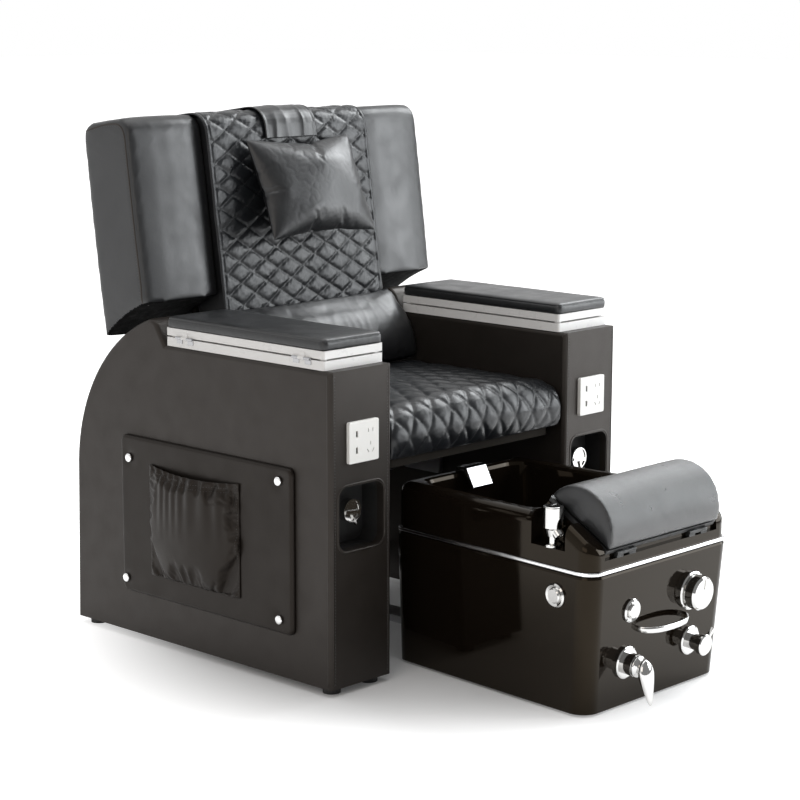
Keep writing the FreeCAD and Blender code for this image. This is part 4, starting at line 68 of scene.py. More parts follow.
def at(x, y, z):
    """A point of the chair."""
    return Vector((x, y + CENTRE_Y, z)) / 1000


def on_back(x, u, w):
    """A point of the leaning back: u backwards and w up from the recline axis."""
    y = RECLINE[0] + u * math.cos(LEAN) + w * math.sin(LEAN)
    z = RECLINE[1] - u * math.sin(LEAN) + w * math.cos(LEAN)
    return at(x, y, z)


def on_rest(x, u, w):
    """A point of the footrest: u back along its slope and w square to it."""
    y = REST[0] + u * math.cos(TILT) - w * math.sin(TILT)
    z = REST[1] + u * math.sin(TILT) + w * math.cos(TILT)
    return at(TUB_X + x, y, z)


# Materials

def added(tree, kind, inputs):
    """A new node. An input is linked when it gets a socket, and set when it gets a value."""
    node = tree.nodes.new(kind)
    for key, value in inputs.items():
        if isinstance(value, bpy.types.NodeSocket):
            tree.links.new(value, node.inputs[key])
        else:
            node.inputs[key].default_value = value
    return node


class Nodes:
    """A material with short calls for its nodes; coordinates are in metres."""

    def __init__(self, name, colour, rough, **inputs):
        self.material = bpy.data.materials.new(name)
        self.material.use_nodes = True
        self.tree = self.material.node_tree
        self.shader = self.tree.nodes["Principled BSDF"]
        self.shader.inputs["Base Color"].default_value = (*colour, 1)
        self.shader.inputs["Roughness"].default_value = rough
        for key, value in inputs.items():
            self.shader.inputs[key.replace("_", " ")].default_value = value
        self.coords = self.tree.nodes.new("ShaderNodeTexCoord").outputs["Object"]
        self.normal = None

    def scaled(self, *scale):
        inputs = {"Scale": scale, "Vector": self.coords}
        return added(self.tree, "ShaderNodeMapping", inputs).outputs["Vector"]

    def noise(self, scale, detail=2, rough=0.5, vector=None):
        inputs = {"Scale": scale, "Detail": detail, "Roughness": rough, "Vector": vector or self.coords}
        return added(self.tree, "ShaderNodeTexNoise", inputs).outputs["Fac"]

    def cells(self, scale):
        inputs = {"Scale": scale, "Vector": self.coords}
        return added(self.tree, "ShaderNodeTexVoronoi", inputs).outputs["Distance"]

    def bump(self, source, depth):
        inputs = {"Distance": depth, "Strength": 1.0, "Height": source}
        if self.normal is not None:
            inputs["Normal"] = self.normal
        self.normal = added(self.tree, "ShaderNodeBump", inputs).outputs["Normal"]
        self.tree.links.new(self.normal, self.shader.inputs["Normal"])

    def rough_by(self, source, low, high):
        inputs = {"From Min": 0.3, "From Max": 0.7, "To Min": low, "To Max": high, "Value": source}
        result = added(self.tree, "ShaderNodeMapRange", inputs).outputs["Result"]
        self.tree.links.new(result, self.shader.inputs["Roughness"])

    def colour_by(self, source, first, second):
        node = self.tree.nodes.new("ShaderNodeMix")
        node.data_type = "RGBA"
        self.tree.links.new(source, node.inputs["Factor"])
        node.inputs["A"].default_value = (*first, 1)
        node.inputs["B"].default_value = (*second, 1)
        self.tree.links.new(node.outputs["Result"], self.shader.inputs["Base Color"])


def leather(name, colour, rough, wave=0.0006, crease=0.00012, grain=0.00006, shine=0.5, painted_reflection_tint=(1, 1, 1)):
    """Black leatherette: pebble grain, faint creases and a slow wave of the padding; a tint other than
    white colours its sheen as a painted warm reflection.
    """
    m = Nodes(name, colour, rough, Specular_IOR_Level=shine, Specular_Tint=(*painted_reflection_tint, 1))
    m.bump(m.noise(7), wave)
    m.bump(m.noise(70, 4, 0.6), crease)
    m.bump(m.cells(900), grain)
    m.rough_by(m.noise(22, 3), rough - 0.05, rough + 0.07)
    m.colour_by(m.noise(12, 3), colour, [c * 1.35 for c in colour])
    return m.material


def chrome(name, colour=(0.6, 0.595, 0.585), rough=0.07):
    m = Nodes(name, colour, rough, Metallic=1.0)
    m.rough_by(m.noise(45, 3), rough * 0.6, rough * 1.8)
    m.bump(m.noise(25), 0.00003)
    return m.material


def plastic(name, colour, rough, grain=0.00002, coat=0.0, shine=0.5):
    m = Nodes(name, colour, rough, Coat_Weight=coat, Coat_Roughness=0.03, Specular_IOR_Level=shine)
    m.rough_by(m.noise(60, 3), rough * 0.85, rough * 1.2)
    m.bump(m.noise(700), grain)
    return m.material


def brushed(name, colour, rough):
    m = Nodes(name, colour, rough, Metallic=1.0)
    m.bump(m.noise(1, 3, 0.6, m.scaled(6, 600, 600)), 0.00004)
    m.rough_by(m.noise(20), rough * 0.8, rough * 1.2)
    return m.material


def plywood():
    """Plywood stained black, as the boards under the leather are."""
    m = Nodes("plywood", (0.02, 0.017, 0.014), 0.85, Specular_IOR_Level=0.1)
    m.colour_by(m.noise(1, 4, 0.6, m.scaled(14, 120, 14)), (0.011, 0.0095, 0.008), (0.022, 0.018, 0.014))
    m.bump(m.noise(1, 3, 0.6, m.scaled(40, 400, 40)), 0.0001)
    return m.material


def acrylic():
    """Deep black glossy acrylic with a trace of orange peel; its warm base colour and the warm tint of its
    gloss are a painted brown reflection of the surroundings.
    """
    m = Nodes("basin_acrylic", (0.006, 0.0042, 0.0028), 0.06, Specular_IOR_Level=0.2,
              Specular_Tint=(1.0, 0.82, 0.6, 1))
    m.rough_by(m.noise(30, 3), 0.05, 0.08)
    m.bump(m.noise(14), 0.00006)
    return m.material


def thread(colour):
    m = Nodes("thread", colour, 0.55)
    m.colour_by(m.noise(300), [c * 0.7 for c in colour], [c * 1.3 for c in colour])
    m.bump(m.noise(1, 2, 0.5, m.scaled(2500, 2500, 2500)), 0.0001)
    return m.material


# The warm tint of the sheen of the panels and side covers is a painted reflection: it stands for the warm
# surroundings seen in the sides of the arms.
BODY_LEATHER = leather("leather_panels", (0.0125, 0.0102, 0.0086), 0.43, shine=0.34,
                       painted_reflection_tint=(1.0, 0.92, 0.86))
COVER_LEATHER = leather("leather_side_covers", (0.008, 0.0062, 0.005), 0.4, shine=0.22,
                        painted_reflection_tint=(1.0, 0.9, 0.82))
CUSHION_LEATHER = leather("leather_cushions", (0.0125, 0.013, 0.014), 0.36, wave=0.0009, crease=0.0002)
QUILT_LEATHER = leather("leather_quilted", (0.0085, 0.0094, 0.0108), 0.32, wave=0.0003, crease=0.0003,
                        shine=0.35)
REST_LEATHER = leather("leather_footrest", (0.01, 0.0103, 0.011), 0.31, wave=0.0003, crease=0.00004,
                       grain=0.0004, shine=0.85)
THREAD = thread((0.09, 0.09, 0.092))
BASIN_BLACK = acrylic()
CHROME = chrome("chrome")
# The spout's chrome is a darker, duller copy of the chrome: painted shade that stands for the dark
# reflections in the spout's face.
SHADED_SPOUT_CHROME = chrome("spout_chrome_painted_shade", (0.4, 0.4, 0.41), 0.16)
MIRROR = chrome("mirror_caps", (0.78, 0.78, 0.78), 0.1)
SILVER = plastic("silver_lacquer", (0.8, 0.79, 0.775), 0.3, grain=0.00001, coat=0.4)
UNDERSIDE = plastic("underside_cloth", (0.006, 0.006, 0.006), 0.9, grain=0.0003, shine=0.08)
TRIM = brushed("trim_silver", (0.83, 0.83, 0.84), 0.2)
WHITE = plastic("socket_white", (0.86, 0.85, 0.82), 0.35)
MATT_BLACK = plastic("moulded_black", (0.012, 0.012, 0.012), 0.5, grain=0.00008)
RUBBER = plastic("rubber", (0.018, 0.018, 0.018), 0.7, grain=0.0001)
STEEL = brushed("steel", (0.42, 0.42, 0.43), 0.36)
MOTOR = plastic("motor_paint", (0.05, 0.05, 0.052), 0.4, grain=0.00005)
NYLON = plastic("nylon", (0.6, 0.6, 0.57), 0.5)
PLYWOOD = plywood()

NODE_MATERIALS = {
    BODY_LEATHER: ("arm_casing_left", "arm_casing_right", "side_panel_left", "side_panel_right",
                   "side_pockets", "rear_cover", "pillow_strap"),
    CUSHION_LEATHER: ("back_cushion", "back_wing_left", "back_wing_right", "lumbar_cushion",
                      "armrest_pad_left", "armrest_pad_right", "head_pillow", "back_rear_cover"),
    QUILT_LEATHER: ("quilted_cover", "seat_cushion"),
    REST_LEATHER: ("footrest_pad",),
    RUBBER: ("chair_feet",),
    MIRROR: ("side_panel_screws",),
    WHITE: ("socket_plates",),
    MATT_BLACK: ("recess_cups", "footrest_board", "footrest_hinges"),
    CHROME: ("recess_knob_left", "recess_knob_right", "faucet_stem", "faucet_head",
             "drain_strainer", "air_button_bezels", "air_button_front",
             "air_button_side", "diverter_collar", "diverter_knob", "pull_handle",
             "drain_valve_body", "drain_valve_lever", "mixer_body", "mixer_lever"),
    SHADED_SPOUT_CHROME: ("waterfall_spout",),
    SILVER: ("armrest_bases", "armrest_board_left", "armrest_board_right"),
    STEEL: ("armrest_hinges", "cross_rails", "pivot_brackets", "recline_shaft",
            "back_side_plates", "guide_rail"),
    PLYWOOD: ("seat_deck", "back_board", "tub_base"),
    MOTOR: ("recline_drive", "jet_motor"),
    BASIN_BLACK: ("tub_skirt", "tub_basin", "jet_cover", "jet_impeller"),
    TRIM: ("tub_trim",),
    NYLON: ("tub_glides",),
}
for material, names in NODE_MATERIALS.items():
    for name in names:
        mesh = frame["nodes"][name].data
        mesh.materials.clear()
        mesh.materials.append(material)


# Making pieces

def linked(name, mesh):
    piece = bpy.data.objects.new(name, mesh)
    bpy.context.scene.collection.objects.link(piece)
    return piece


def mesh_of(name, verts, faces):
    mesh = bpy.data.meshes.new(name)
    mesh.from_pydata(verts, [], faces)
    mesh.update()
    return mesh


def dress(piece, material, body, replaced=()):
    """Shades a piece smooth, gives it its material and body, and hides the parts it replaces."""
    piece.data.materials.clear()
    piece.data.materials.append(material)
    piece.data.polygons.foreach_set("use_smooth", [True] * len(piece.data.polygons))
    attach(piece, body)
    if replaced:
        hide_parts(*replaced)


def finish_piece(name, mesh, material, body, replaced=()):
    piece = linked(name, mesh)
    dress(piece, material, body, replaced)
    return piece


def face_out(mesh):
    """Turns the faces of a closed mesh outwards."""
    shape = bmesh.new()
    shape.from_mesh(mesh)
    bmesh.ops.recalc_face_normals(shape, faces=shape.faces)
    shape.to_mesh(mesh)
    shape.free()


def applied(piece):
    """Fixes the modifiers of a piece into its mesh."""
    old = piece.data
    shown = piece.evaluated_get(bpy.context.evaluated_depsgraph_get())
    mesh = bpy.data.meshes.new_from_object(shown)
    piece.modifiers.clear()
    piece.data = mesh
    bpy.data.meshes.remove(old)
    return piece


def even_copy(node, name, voxel, shrink):
    """A soft solid drawn in a little and remeshed evenly."""
    shape = bmesh.new()
    shape.from_mesh(frame["nodes"][node].data)
    bmesh.ops.remove_doubles(shape, verts=shape.verts, dist=0.00002)
    shape.normal_update()
    for vert in shape.verts:
        vert.co -= vert.normal * shrink
    mesh = bpy.data.meshes.new(name)
    shape.to_mesh(mesh)
    shape.free()
    piece = linked(name, mesh)
    remesh = piece.modifiers.new("even", "REMESH")
    remesh.mode = "VOXEL"
    remesh.voxel_size = voxel
    return applied(piece)


def blow_up(piece, cap, pressure=4.0, frames=20, held=None, stiffness=15.0, bending=0.5, grow=0.0):
    """Cloth under pressure, without gravity; no point moves further than the cap."""
    scene = bpy.context.scene
    before = [vert.co.copy() for vert in piece.data.vertices]
    if held:
        group = piece.vertex_groups.new(name="held")
        group.add(held, 1.0, "REPLACE")
    cloth = piece.modifiers.new("cloth", "CLOTH")
    cloth.settings.use_pressure = True
    cloth.settings.uniform_pressure_force = pressure
    cloth.settings.effector_weights.gravity = 0
    cloth.settings.tension_stiffness = stiffness
    cloth.settings.compression_stiffness = stiffness
    cloth.settings.bending_stiffness = bending
    cloth.settings.shrink_min = -grow
    if held:
        cloth.settings.vertex_group_mass = "held"
    cloth.point_cache.frame_end = frames
    for number in range(1, frames + 1):
        scene.frame_set(number)
    shown = piece.evaluated_get(bpy.context.evaluated_depsgraph_get())
    after = [vert.co.copy() for vert in shown.data.vertices]
    piece.modifiers.remove(cloth)
    piece.vertex_groups.clear()
    scene.frame_set(1)
    for vert, old, new in zip(piece.data.vertices, before, after):
        step = new - old
        if step.length > cap:
            step *= cap / step.length
        vert.co = old + step


def finer(piece):
    modifier = piece.modifiers.new("finer", "SUBSURF")
    modifier.levels = modifier.render_levels = 1
    return applied(piece)


def sculpt(piece, height):
    """Moves each point along its normal by a height worked out from its place and normal."""
    for vert, normal in [(vert, vert.normal.copy()) for vert in piece.data.vertices]:
        vert.co += normal * height(vert.co, normal)
    piece.data.update()


def wrinkle(place, size, seed=0.0):
    """Ridged noise between 0 and 1, as leather creases."""
    value = noise.noise(place / size + Vector((seed, seed * 0.7, -seed)))
    return (1 - min(1, abs(value) * 2.2)) ** 2


def smooth_step(low, high, value):
    share = min(1, max(0, (value - low) / (high - low)))
    return share * share * (3 - 2 * share)


def grid_faces(columns, rows, start=0, flip=False):
    faces = []
    for row in range(rows - 1):
        for column in range(columns - 1):
            a = start + row * columns + column
            face = (a, a + 1, a + columns + 1, a + columns)
            faces.append(face[::-1] if flip else face)
    return faces


def tube_faces(rows, around, base=0):
    """Faces of a tube through rings of points, with a cap at each end."""
    faces = []
    for row in range(rows - 1):
        for k in range(around):
            a, b = base + row * around + k, base + row * around + (k + 1) % around
            faces.append((a, b, b + around, a + around))
    last = base + (rows - 1) * around
    return faces + [tuple(range(base, base + around))[::-1], tuple(range(last, last + around))]


def shell(name, columns, rows, outer, inner):
    """A closed thin sheet from two grids of points that share their border's order."""
    verts = [place(c / (columns - 1), r / (rows - 1))
             for place in (outer, inner) for r in range(rows) for c in range(columns)]
    second = columns * rows
    border = list(range(columns))
    border += [r * columns + columns - 1 for r in range(1, rows)]
    border += [(rows - 1) * columns + c for c in range(columns - 2, -1, -1)]
    border += [r * columns for r in range(rows - 2, 0, -1)]
    faces = grid_faces(columns, rows) + grid_faces(columns, rows, second, True)
    faces += [(b, a, a + second, b + second) for a, b in zip(border, border[1:] + border[:1])]
    mesh = mesh_of(name, verts, faces)
    mesh.validate()
    mesh.update()
    return mesh


# Seams, piping and stitches

def even_points(points, pitch):
    """Points at an even pitch along a polyline, with the direction at each."""
    result = []
    carried = pitch / 2
    for start, end in zip(points, points[1:]):
        run = (end - start).length
        if run == 0:
            continue
        direction = (end - start) / run
        while carried <= run:
            result.append((start + direction * carried, direction))
            carried += pitch
        carried -= run
    return result


def surface_of(piece):
    return BVHTree.FromObject(piece, bpy.context.evaluated_depsgraph_get())


def met(tree, rays, reach, depth):
    """Where rays from outside meet a surface; each ray has a point and the outward direction."""
    result = []
    for point, outwards in rays:
        hit, normal, _, _ = tree.ray_cast(point + outwards * reach, -outwards, depth)
        if hit is not None:
            result.append((hit, normal))
    return result


def laid_on(target, points, outwards):
    """Drops points onto a piece against the outward direction; gives places and normals."""
    return met(surface_of(target), [(point, outwards) for point in points], 0.05, 0.11)


def swept(name, spots, width, height, material, body):
    """A low round bead along places with normals, such as piping or a lapped seam."""
    sink, around, last = 0.0006, 7, len(spots) - 1
    verts = []
    for index, (place, normal) in enumerate(spots):
        ahead = spots[min(index + 1, last)][0] - spots[max(index - 1, 0)][0]
        side = ahead.normalized().cross(normal).normalized()
        for step in range(around):
            angle = math.pi * step / (around - 1)
            verts.append(place + side * math.cos(angle) * width / 2
                         + normal * (math.sin(angle) * height - sink))
        verts.append(place - normal * (sink + 0.0004))
    faces = [(face[0],) + face[:0:-1] for face in tube_faces(len(spots), around + 1)]
    finish_piece(name, mesh_of(name, verts, faces), material, body, ())


def stitches(name, lines, body, pitch=0.0062, length=0.0042, thick=0.00085):
    """Short thread dashes along lines of places with normals."""
    verts, faces = [], []
    for spots in lines:
        places = [place for place, _ in spots]
        cursor = 0
        for place, direction in even_points(places, pitch):
            while (cursor < len(places) - 2
                   and (places[cursor + 1] - place).length < (places[cursor] - place).length):
                cursor += 1
            normal = spots[cursor][1]
            side = direction.cross(normal).normalized()
            base = len(verts)
            half = direction * length / 2
            high = normal * thick * 0.6
            verts += [place - half - high * 0.3, place + half - high * 0.3,
                      place + side * thick / 2, place + high, place - side * thick / 2, place - high]
            for a, b in ((2, 3), (3, 4), (4, 5), (5, 2)):
                faces += [(base, base + a, base + b), (base + 1, base + b, base + a)]
    finish_piece(name, mesh_of(name, verts, faces), THREAD, body)


def polyline(corners, roundings, step=0.006):
    """Points along straight runs with rounded corners, in two coordinates."""
    points = [Vector(corners[0])]
    for index in range(1, len(corners) - 1):
        before, here, after = (Vector(corners[index + k]) for k in (-1, 0, 1))
        rounding = roundings[index]
        inwards, outwards = (before - here).normalized(), (after - here).normalized()
        for share in range(9):
            k = share / 8
            a = here + inwards * rounding * (1 - k)
            b = here + outwards * rounding * k
            points.append(a.lerp(b, k))
    points.append(Vector(corners[-1]))
    dense = [points[0]]
    for start, end in zip(points, points[1:]):
        count = max(1, int((end - start).length / step))
        dense += [start.lerp(end, k / count) for k in range(1, count + 1)]
    return dense


# Quilting

SEAT_DIAMOND = (0.056, 0.094)
COVER_DIAMOND = (0.078, 0.049)


def quilted(across, along, wide, tall, firm=4.2):
    """Fullness of a diamond quilt, 0 on its seams and 1 on a diamond."""
    spacing = 1 / math.hypot(1 / wide, 1 / tall)
    full = 1.0
    for value in (across / wide + along / tall, across / wide - along / tall):
        way = abs(value - round(value)) * spacing
        full *= 1 - (1 - min(1, way * 2 / spacing)) ** firm
    return full


def sewn(name, piece, diamond, half, low, high, spot_of, body):
    """Quilting thread in the seams of a diamond quilt: small stitches laid on the piece."""
    tree = surface_of(piece)
    wide, tall = diamond
    step = 0.002
    reach = int(half / wide + max(abs(low), abs(high)) / tall) + 2
    lines = []
    for family in (1, -1):
        for number in range(-reach, reach + 1):
            rays = []
            for k in range(int(2 * half / step)):
                across = -half + step * k
                along = family * (number - across / wide) * tall
                if low < along < high:
                    rays.append(spot_of(across, along))
            spots = met(tree, rays, 0.03, 0.06)
            if len(spots) > 2:
                lines.append(spots)
    stitches(name, lines, body, pitch=0.0038, length=0.003, thick=0.0009)


# Seat: its top ends in a roll, and its front hangs from the roll

ROLL_Y, ROLL_Z, ROLL = 0.058, 0.512, 0.062
QUARTER = math.pi / 2 * ROLL


def seat_spot(across, along):
    """The inverse of seat_place: a point near the surface and the outward direction there."""
    y, near = CENTRE_Y / 1000 + ROLL_Y, ROLL + 0.002
    if along >= 0:
        return Vector((across, y + along, 0.58)), Vector((0, 0, 1))
    angle = -along / ROLL
    if angle < math.pi / 2:
        outwards = Vector((0, -math.sin(angle), math.cos(angle)))
        return Vector((across, y, ROLL_Z)) + outwards * near, outwards
    return Vector((across, y - near, ROLL_Z + along + QUARTER)), FORWARDS


def seat_place(point):
    """Distance from the middle line and along the seat's top and rolled front, in metres."""
    y = point.y - CENTRE_Y / 1000
    if y > ROLL_Y:
        return point.x, y - ROLL_Y
    if point.z > ROLL_Z:
        return point.x, -math.atan2(ROLL_Y - y, point.z - ROLL_Z) * ROLL
    return point.x, point.z - ROLL_Z - QUARTER


def seat():
    def height(point, normal):
        shown = max(smooth_step(-0.1, 0.35, normal.z), smooth_step(0.3, 0.8, -normal.y))
        shown *= 1 - smooth_step(0.6, 0.95, abs(normal.x))
        full = quilted(*seat_place(point), *SEAT_DIAMOND, 3.6)
        return shown * (0.0038 * (full - 0.7) + wrinkle(point, 0.016, 3) * 0.0005 - 0.0006)

    piece = stuffed("seat_cushion", "seat_upholstery", "chair", QUILT_LEATHER, 0.007, 0.002, 0.004, height)
    sewn("seat_thread", piece, SEAT_DIAMOND, 0.272, -0.135, 0.42, seat_spot, "chair")


# Back: centre cushion, wings, quilted cover, strap, pillow and lumbar cushion

def stuffed(node, name, body, material, voxel, shrink, cap, height):
    """A cushion made from a soft solid: cloth under pressure, where it has a cap, then its relief."""
    piece = even_copy(node, name, voxel, shrink)
    if cap:
        blow_up(piece, cap)
    finer(piece)
    sculpt(piece, height)
    dress(piece, material, body, [node])
    return piece


def soft_waves(size, depth, seed=0.0, crease=0.0):
    """The relief of smooth leather over padding."""
    def height(point, normal):
        value = noise.noise(point / size + Vector((seed, -seed, seed))) * depth
        return value + wrinkle(point, size * 0.3, seed) * crease
    return height


def wing(side, label):
    """A firm foam block: its faces crown a little, its edges stay tight under the welt."""
    low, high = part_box("back_wing_" + label)
    middle = [(low[k] + high[k]) / 2 for k in range(3)]
    half = [(high[k] - low[k]) / 2 for k in range(3)]

    def height(point, normal):
        shares = [min(1, abs(point[k] - middle[k]) / half[k]) for k in range(3)]
        crown = sum(normal[k] ** 2 * (1 - shares[k - 2] ** 4) * (1 - shares[k - 1] ** 4) for k in range(3))
        waves = noise.noise(point / 0.12 + Vector((side * 3.0, 0, 0))) * 0.0009
        tight = wrinkle(Vector((point.x, point.y, point.z * 2)), 0.05, side * 2.0) * 0.0005
        return 0.0035 * crown + waves + tight * (1 - crown)

    piece = stuffed("back_wing_" + label, "wing_" + label, "back", CUSHION_LEATHER, 0.007, 0.001, 0, height)
    piece.data.materials.append(UNDERSIDE)
    down = (on_back(0, 0, 0) - on_back(0, 0, 1)).normalized()
    for face in piece.data.polygons:
        if face.normal.dot(down) > 0.6:
            face.material_index = 1

    def on_side(spots):
        points = [on_back(side * 452, u * 1000, w * 1000) for u, w in spots]
        return laid_on(piece, points, Vector((side, 0, 0)))

    front, top = 0.0955, 0.8055
    edge = polyline([(front + 0.004, 0.409), (front, 0.45), (front, top), (0.16, top + 0.004),
                     (0.232, top - 0.004)], [0, 0.01, 0.036, 0.01, 0], 0.005)
    swept("wing_welt_" + label, on_side(edge), 0.0052, 0.0013, BODY_LEATHER, "back")
    beside = [(a.x + 0.0055, a.y - (0.004 if a.x > front + 0.01 else 0)) for a in edge]
    lower = polyline([(0.104, 0.4135), (0.236, 0.356)], [0, 0], 0.005)
    hem = [(a.x, math.sqrt(0.4275 ** 2 - a.x ** 2)) for a in lower]
    stitches("wing_thread_" + label, [on_side(beside), on_side(hem)], "back")


def cover_line(offset, front_low, rear_low):
    """Side line of a sheet over the back, at an offset from the cushion, as (u, w) in metres."""
    front, top, rear = 0.0614, 0.8176, 0.2416
    return polyline([(front - offset, front_low), (front - offset, top + offset),
                     (rear + offset, top + offset), (rear + offset, rear_low)],
                    [0, 0.052 + offset * 0.6, 0.018 + offset * 0.6, 0], 0.0028)


def even_line(line, rows):
    """The line again at an even pitch, with the outward normal at each point."""
    lengths = [0.0]
    for a, b in zip(line, line[1:]):
        lengths.append(lengths[-1] + (b - a).length)
    result = []
    cursor = 0
    for row in range(rows):
        goal = lengths[-1] * row / (rows - 1)
        while cursor < len(line) - 2 and lengths[cursor + 1] < goal:
            cursor += 1
        a, b = line[cursor], line[cursor + 1]
        share = (goal - lengths[cursor]) / max(1e-9, lengths[cursor + 1] - lengths[cursor])
        direction = (b - a).normalized()
        result.append((a.lerp(b, min(1, share)), Vector((-direction.y, direction.x)), goal))
    return result, lengths[-1]


def back_sheet(name, half, columns, line, height, thickness):
    """A sheet over the back: its outer side rises by a height, its inner side lies on the back."""
    def spot(column, row, inner):
        place, outwards, along = line[round(row * (len(line) - 1))]
        x = (2 * column - 1) * half
        aside, rise = height(x, along)
        place = place + outwards * (0.0002 if inner else rise + thickness)
        return on_back((x + aside) * 1000, place.x * 1000, place.y * 1000)

    return shell(name, columns, len(line), lambda c, r: spot(c, r, False), lambda c, r: spot(c, r, True))


def quilted_sheet():
    half, shift = 0.253, 0.012
    line, length = even_line(cover_line(0.0004, 0.372, 0.64), 380)

    def height(x, along):
        full = quilted(x, along + shift, *COVER_DIAMOND)
        edge = min(half - abs(x), length - along)
        binding = 1 - smooth_step(0.009, 0.0105, edge)
        slanted = Vector(((x + along) * 0.55, x - along, 0.6))
        creases = wrinkle(slanted, 0.012, 5) * 0.0009 + wrinkle(Vector((x, along, 0.3)), 0.022, 9) * 0.0006
        swell = 0.0036 * full + creases * (0.4 + 0.6 * (1 - full))
        swell = swell * (1 - binding) + binding * 0.0026
        groove = 0.0012 * math.exp(-((edge - 0.0105) / 0.0013) ** 2)
        rim = -0.002 * (1 - smooth_step(0, 0.0035, edge))
        wave = 0.0018 * noise.noise(Vector((x * 9, along * 7, 1.7)))
        ripple = 0.0012 * noise.noise(Vector((along * 26, 4.2 + (x > 0), 0)))
        aside = ripple * smooth_step(0.2, half, abs(x)) * (1 if x > 0 else -1)
        return aside, swell - groove + rim + wave

    mesh = back_sheet("quilt", half, 240, line, height, 0.0022)
    piece = finish_piece("quilt", mesh, QUILT_LEATHER, "back", ["quilted_cover"])
    axis = on_back(0, 0, 0)
    back, up = on_back(0, 1000, 0) - axis, on_back(0, 0, 1000) - axis
    last = len(line) - 1

    def quilt_spot(across, along):
        place, outwards, _ = line[min(last, max(0, round((along - shift) / length * last)))]
        return on_back(across * 1000, place.x * 1000, place.y * 1000), back * outwards.x + up * outwards.y

    sewn("quilting_thread", piece, COVER_DIAMOND, 0.241, 0.013, length, quilt_spot, "back")
    lines = []
    for side in (-1, 1):
        for inset in (0.003, 0.0082):
            places = [on_back(side * (half - inset) * 1000, 50, w) for w in range(380, 790, 6)]
            lines.append(laid_on(piece, places, FORWARDS))
    stitches("quilt_thread", lines, "back", pitch=0.0052, length=0.0036, thick=0.0007)


def strap_sheet():
    half = 0.08
    line, length = even_line(cover_line(0.0092, 0.752, 0.7), 170)

    def height(x, along):
        place = Vector((x * 1.5, along * 0.35 + x * 0.2, 0.1))
        near_pillow = 1 - smooth_step(0.02, 0.1, along)
        folds = wrinkle(place, 0.07, 2) * (0.0006 + 0.0022 * near_pillow) + wrinkle(place, 0.13, 7) * 0.0014
        edge = half - abs(x)
        hem = 0.0012 * (1 - smooth_step(0.006, 0.009, edge))
        groove = 0.0007 * math.exp(-((edge - 0.0092) / 0.0012) ** 2)
        crown = 0.002 * (1 - (x / half) ** 2)
        return 0.0, folds * smooth_step(0.002, 0.02, edge) + hem - groove + crown

    mesh = back_sheet("strap", half, 60, line, height, 0.0016)
    piece = finish_piece("strap", mesh, CUSHION_LEATHER, "back", ["pillow_strap"])
    lines = []
    for x in (-74, 74):
        lines.append(laid_on(piece, [on_back(x, 50, w) for w in range(756, 800, 6)], FORWARDS))
        lines.append(laid_on(piece, [on_back(x, u, 830) for u in range(90, 245, 6)], Vector((0, 0, 1))))
    stitches("strap_thread", lines, "back", pitch=0.0052, length=0.0036, thick=0.0009)


def pillow():
    """A pillow of two sheets sewn round their rims, blown up flat, then leant on the back."""
    half_x, half_y = 0.176, 0.131
    size = (322, 236, 96)
    tilt = math.radians(14.6)

    def sheet_point(column, row, sign):
        x, y = 2 * column - 1, 2 * row - 1
        rim = max(0.0, (1 - x ** 8) * (1 - y ** 8))
        return Vector((x * half_x, y * half_y, sign * (0.0008 + 0.012 * math.sqrt(rim))))

    mesh = shell("head_rest", 68, 52, lambda c, r: sheet_point(c, r, -1), lambda c, r: sheet_point(c, r, 1))
    piece = linked("head_rest", mesh)
    face_out(mesh)
    flat = [vert.co.copy() for vert in mesh.vertices]
    blow_up(piece, 0.2, pressure=9.0, frames=46, stiffness=28.0, bending=0.35)
    for vert, old in zip(mesh.vertices, flat):
        vert.co.x += (old.x - vert.co.x) * 0.45
        vert.co.y += (old.y - vert.co.y) * 0.45
    low, high = ([limit(vert.co[k] for vert in mesh.vertices) for k in range(3)] for limit in (min, max))
    for vert in mesh.vertices:
        x, along, through = ((vert.co[k] - (low[k] + high[k]) / 2) / (high[k] - low[k]) * size[k]
                             for k in range(3))
        u = 1 + through * math.cos(tilt) + along * math.sin(tilt)
        w = 636 - through * math.sin(tilt) + along * math.cos(tilt)
        vert.co = on_back(x, u, w)
    finer(piece)
    sculpt(piece, soft_waves(0.06, 0.0008, 4.0, 0.0003))
    dress(piece, CUSHION_LEATHER, "back", ["head_pillow"])


def lumbar():
    def height(point, normal):
        low = 1 - smooth_step(0.6, 0.7, point.z)
        folds = wrinkle(Vector((point.x * 2.2, point.y, point.z * 0.6)), 0.07, 6)
        return 0.0016 * folds * (0.4 + low) + noise.noise(point / 0.1) * 0.0012

    stuffed("lumbar_cushion", "lumbar", "back", CUSHION_LEATHER, 0.0085, 0.003, 0.006, height)


def back_centre():
    stuffed("back_cushion", "back_centre", "back", CUSHION_LEATHER, 0.009, 0.001, 0,
            soft_waves(0.1, 0.0004, 8.0))


# Armrest pads, footrest pad and side pockets

def ring_points(half_x, half_y, radius):
    """A rounded rectangle about the origin, anticlockwise, with as many points at any inset."""
    points = []
    for quarter, (sx, sy) in enumerate(((1, 1), (-1, 1), (-1, -1), (1, -1))):
        for k in range(9):
            angle = math.pi / 2 * (quarter + k / 8)
            points.append(Vector((sx * (half_x - radius) + radius * math.cos(angle),
                                  sy * (half_y - radius) + radius * math.sin(angle))))
    return points


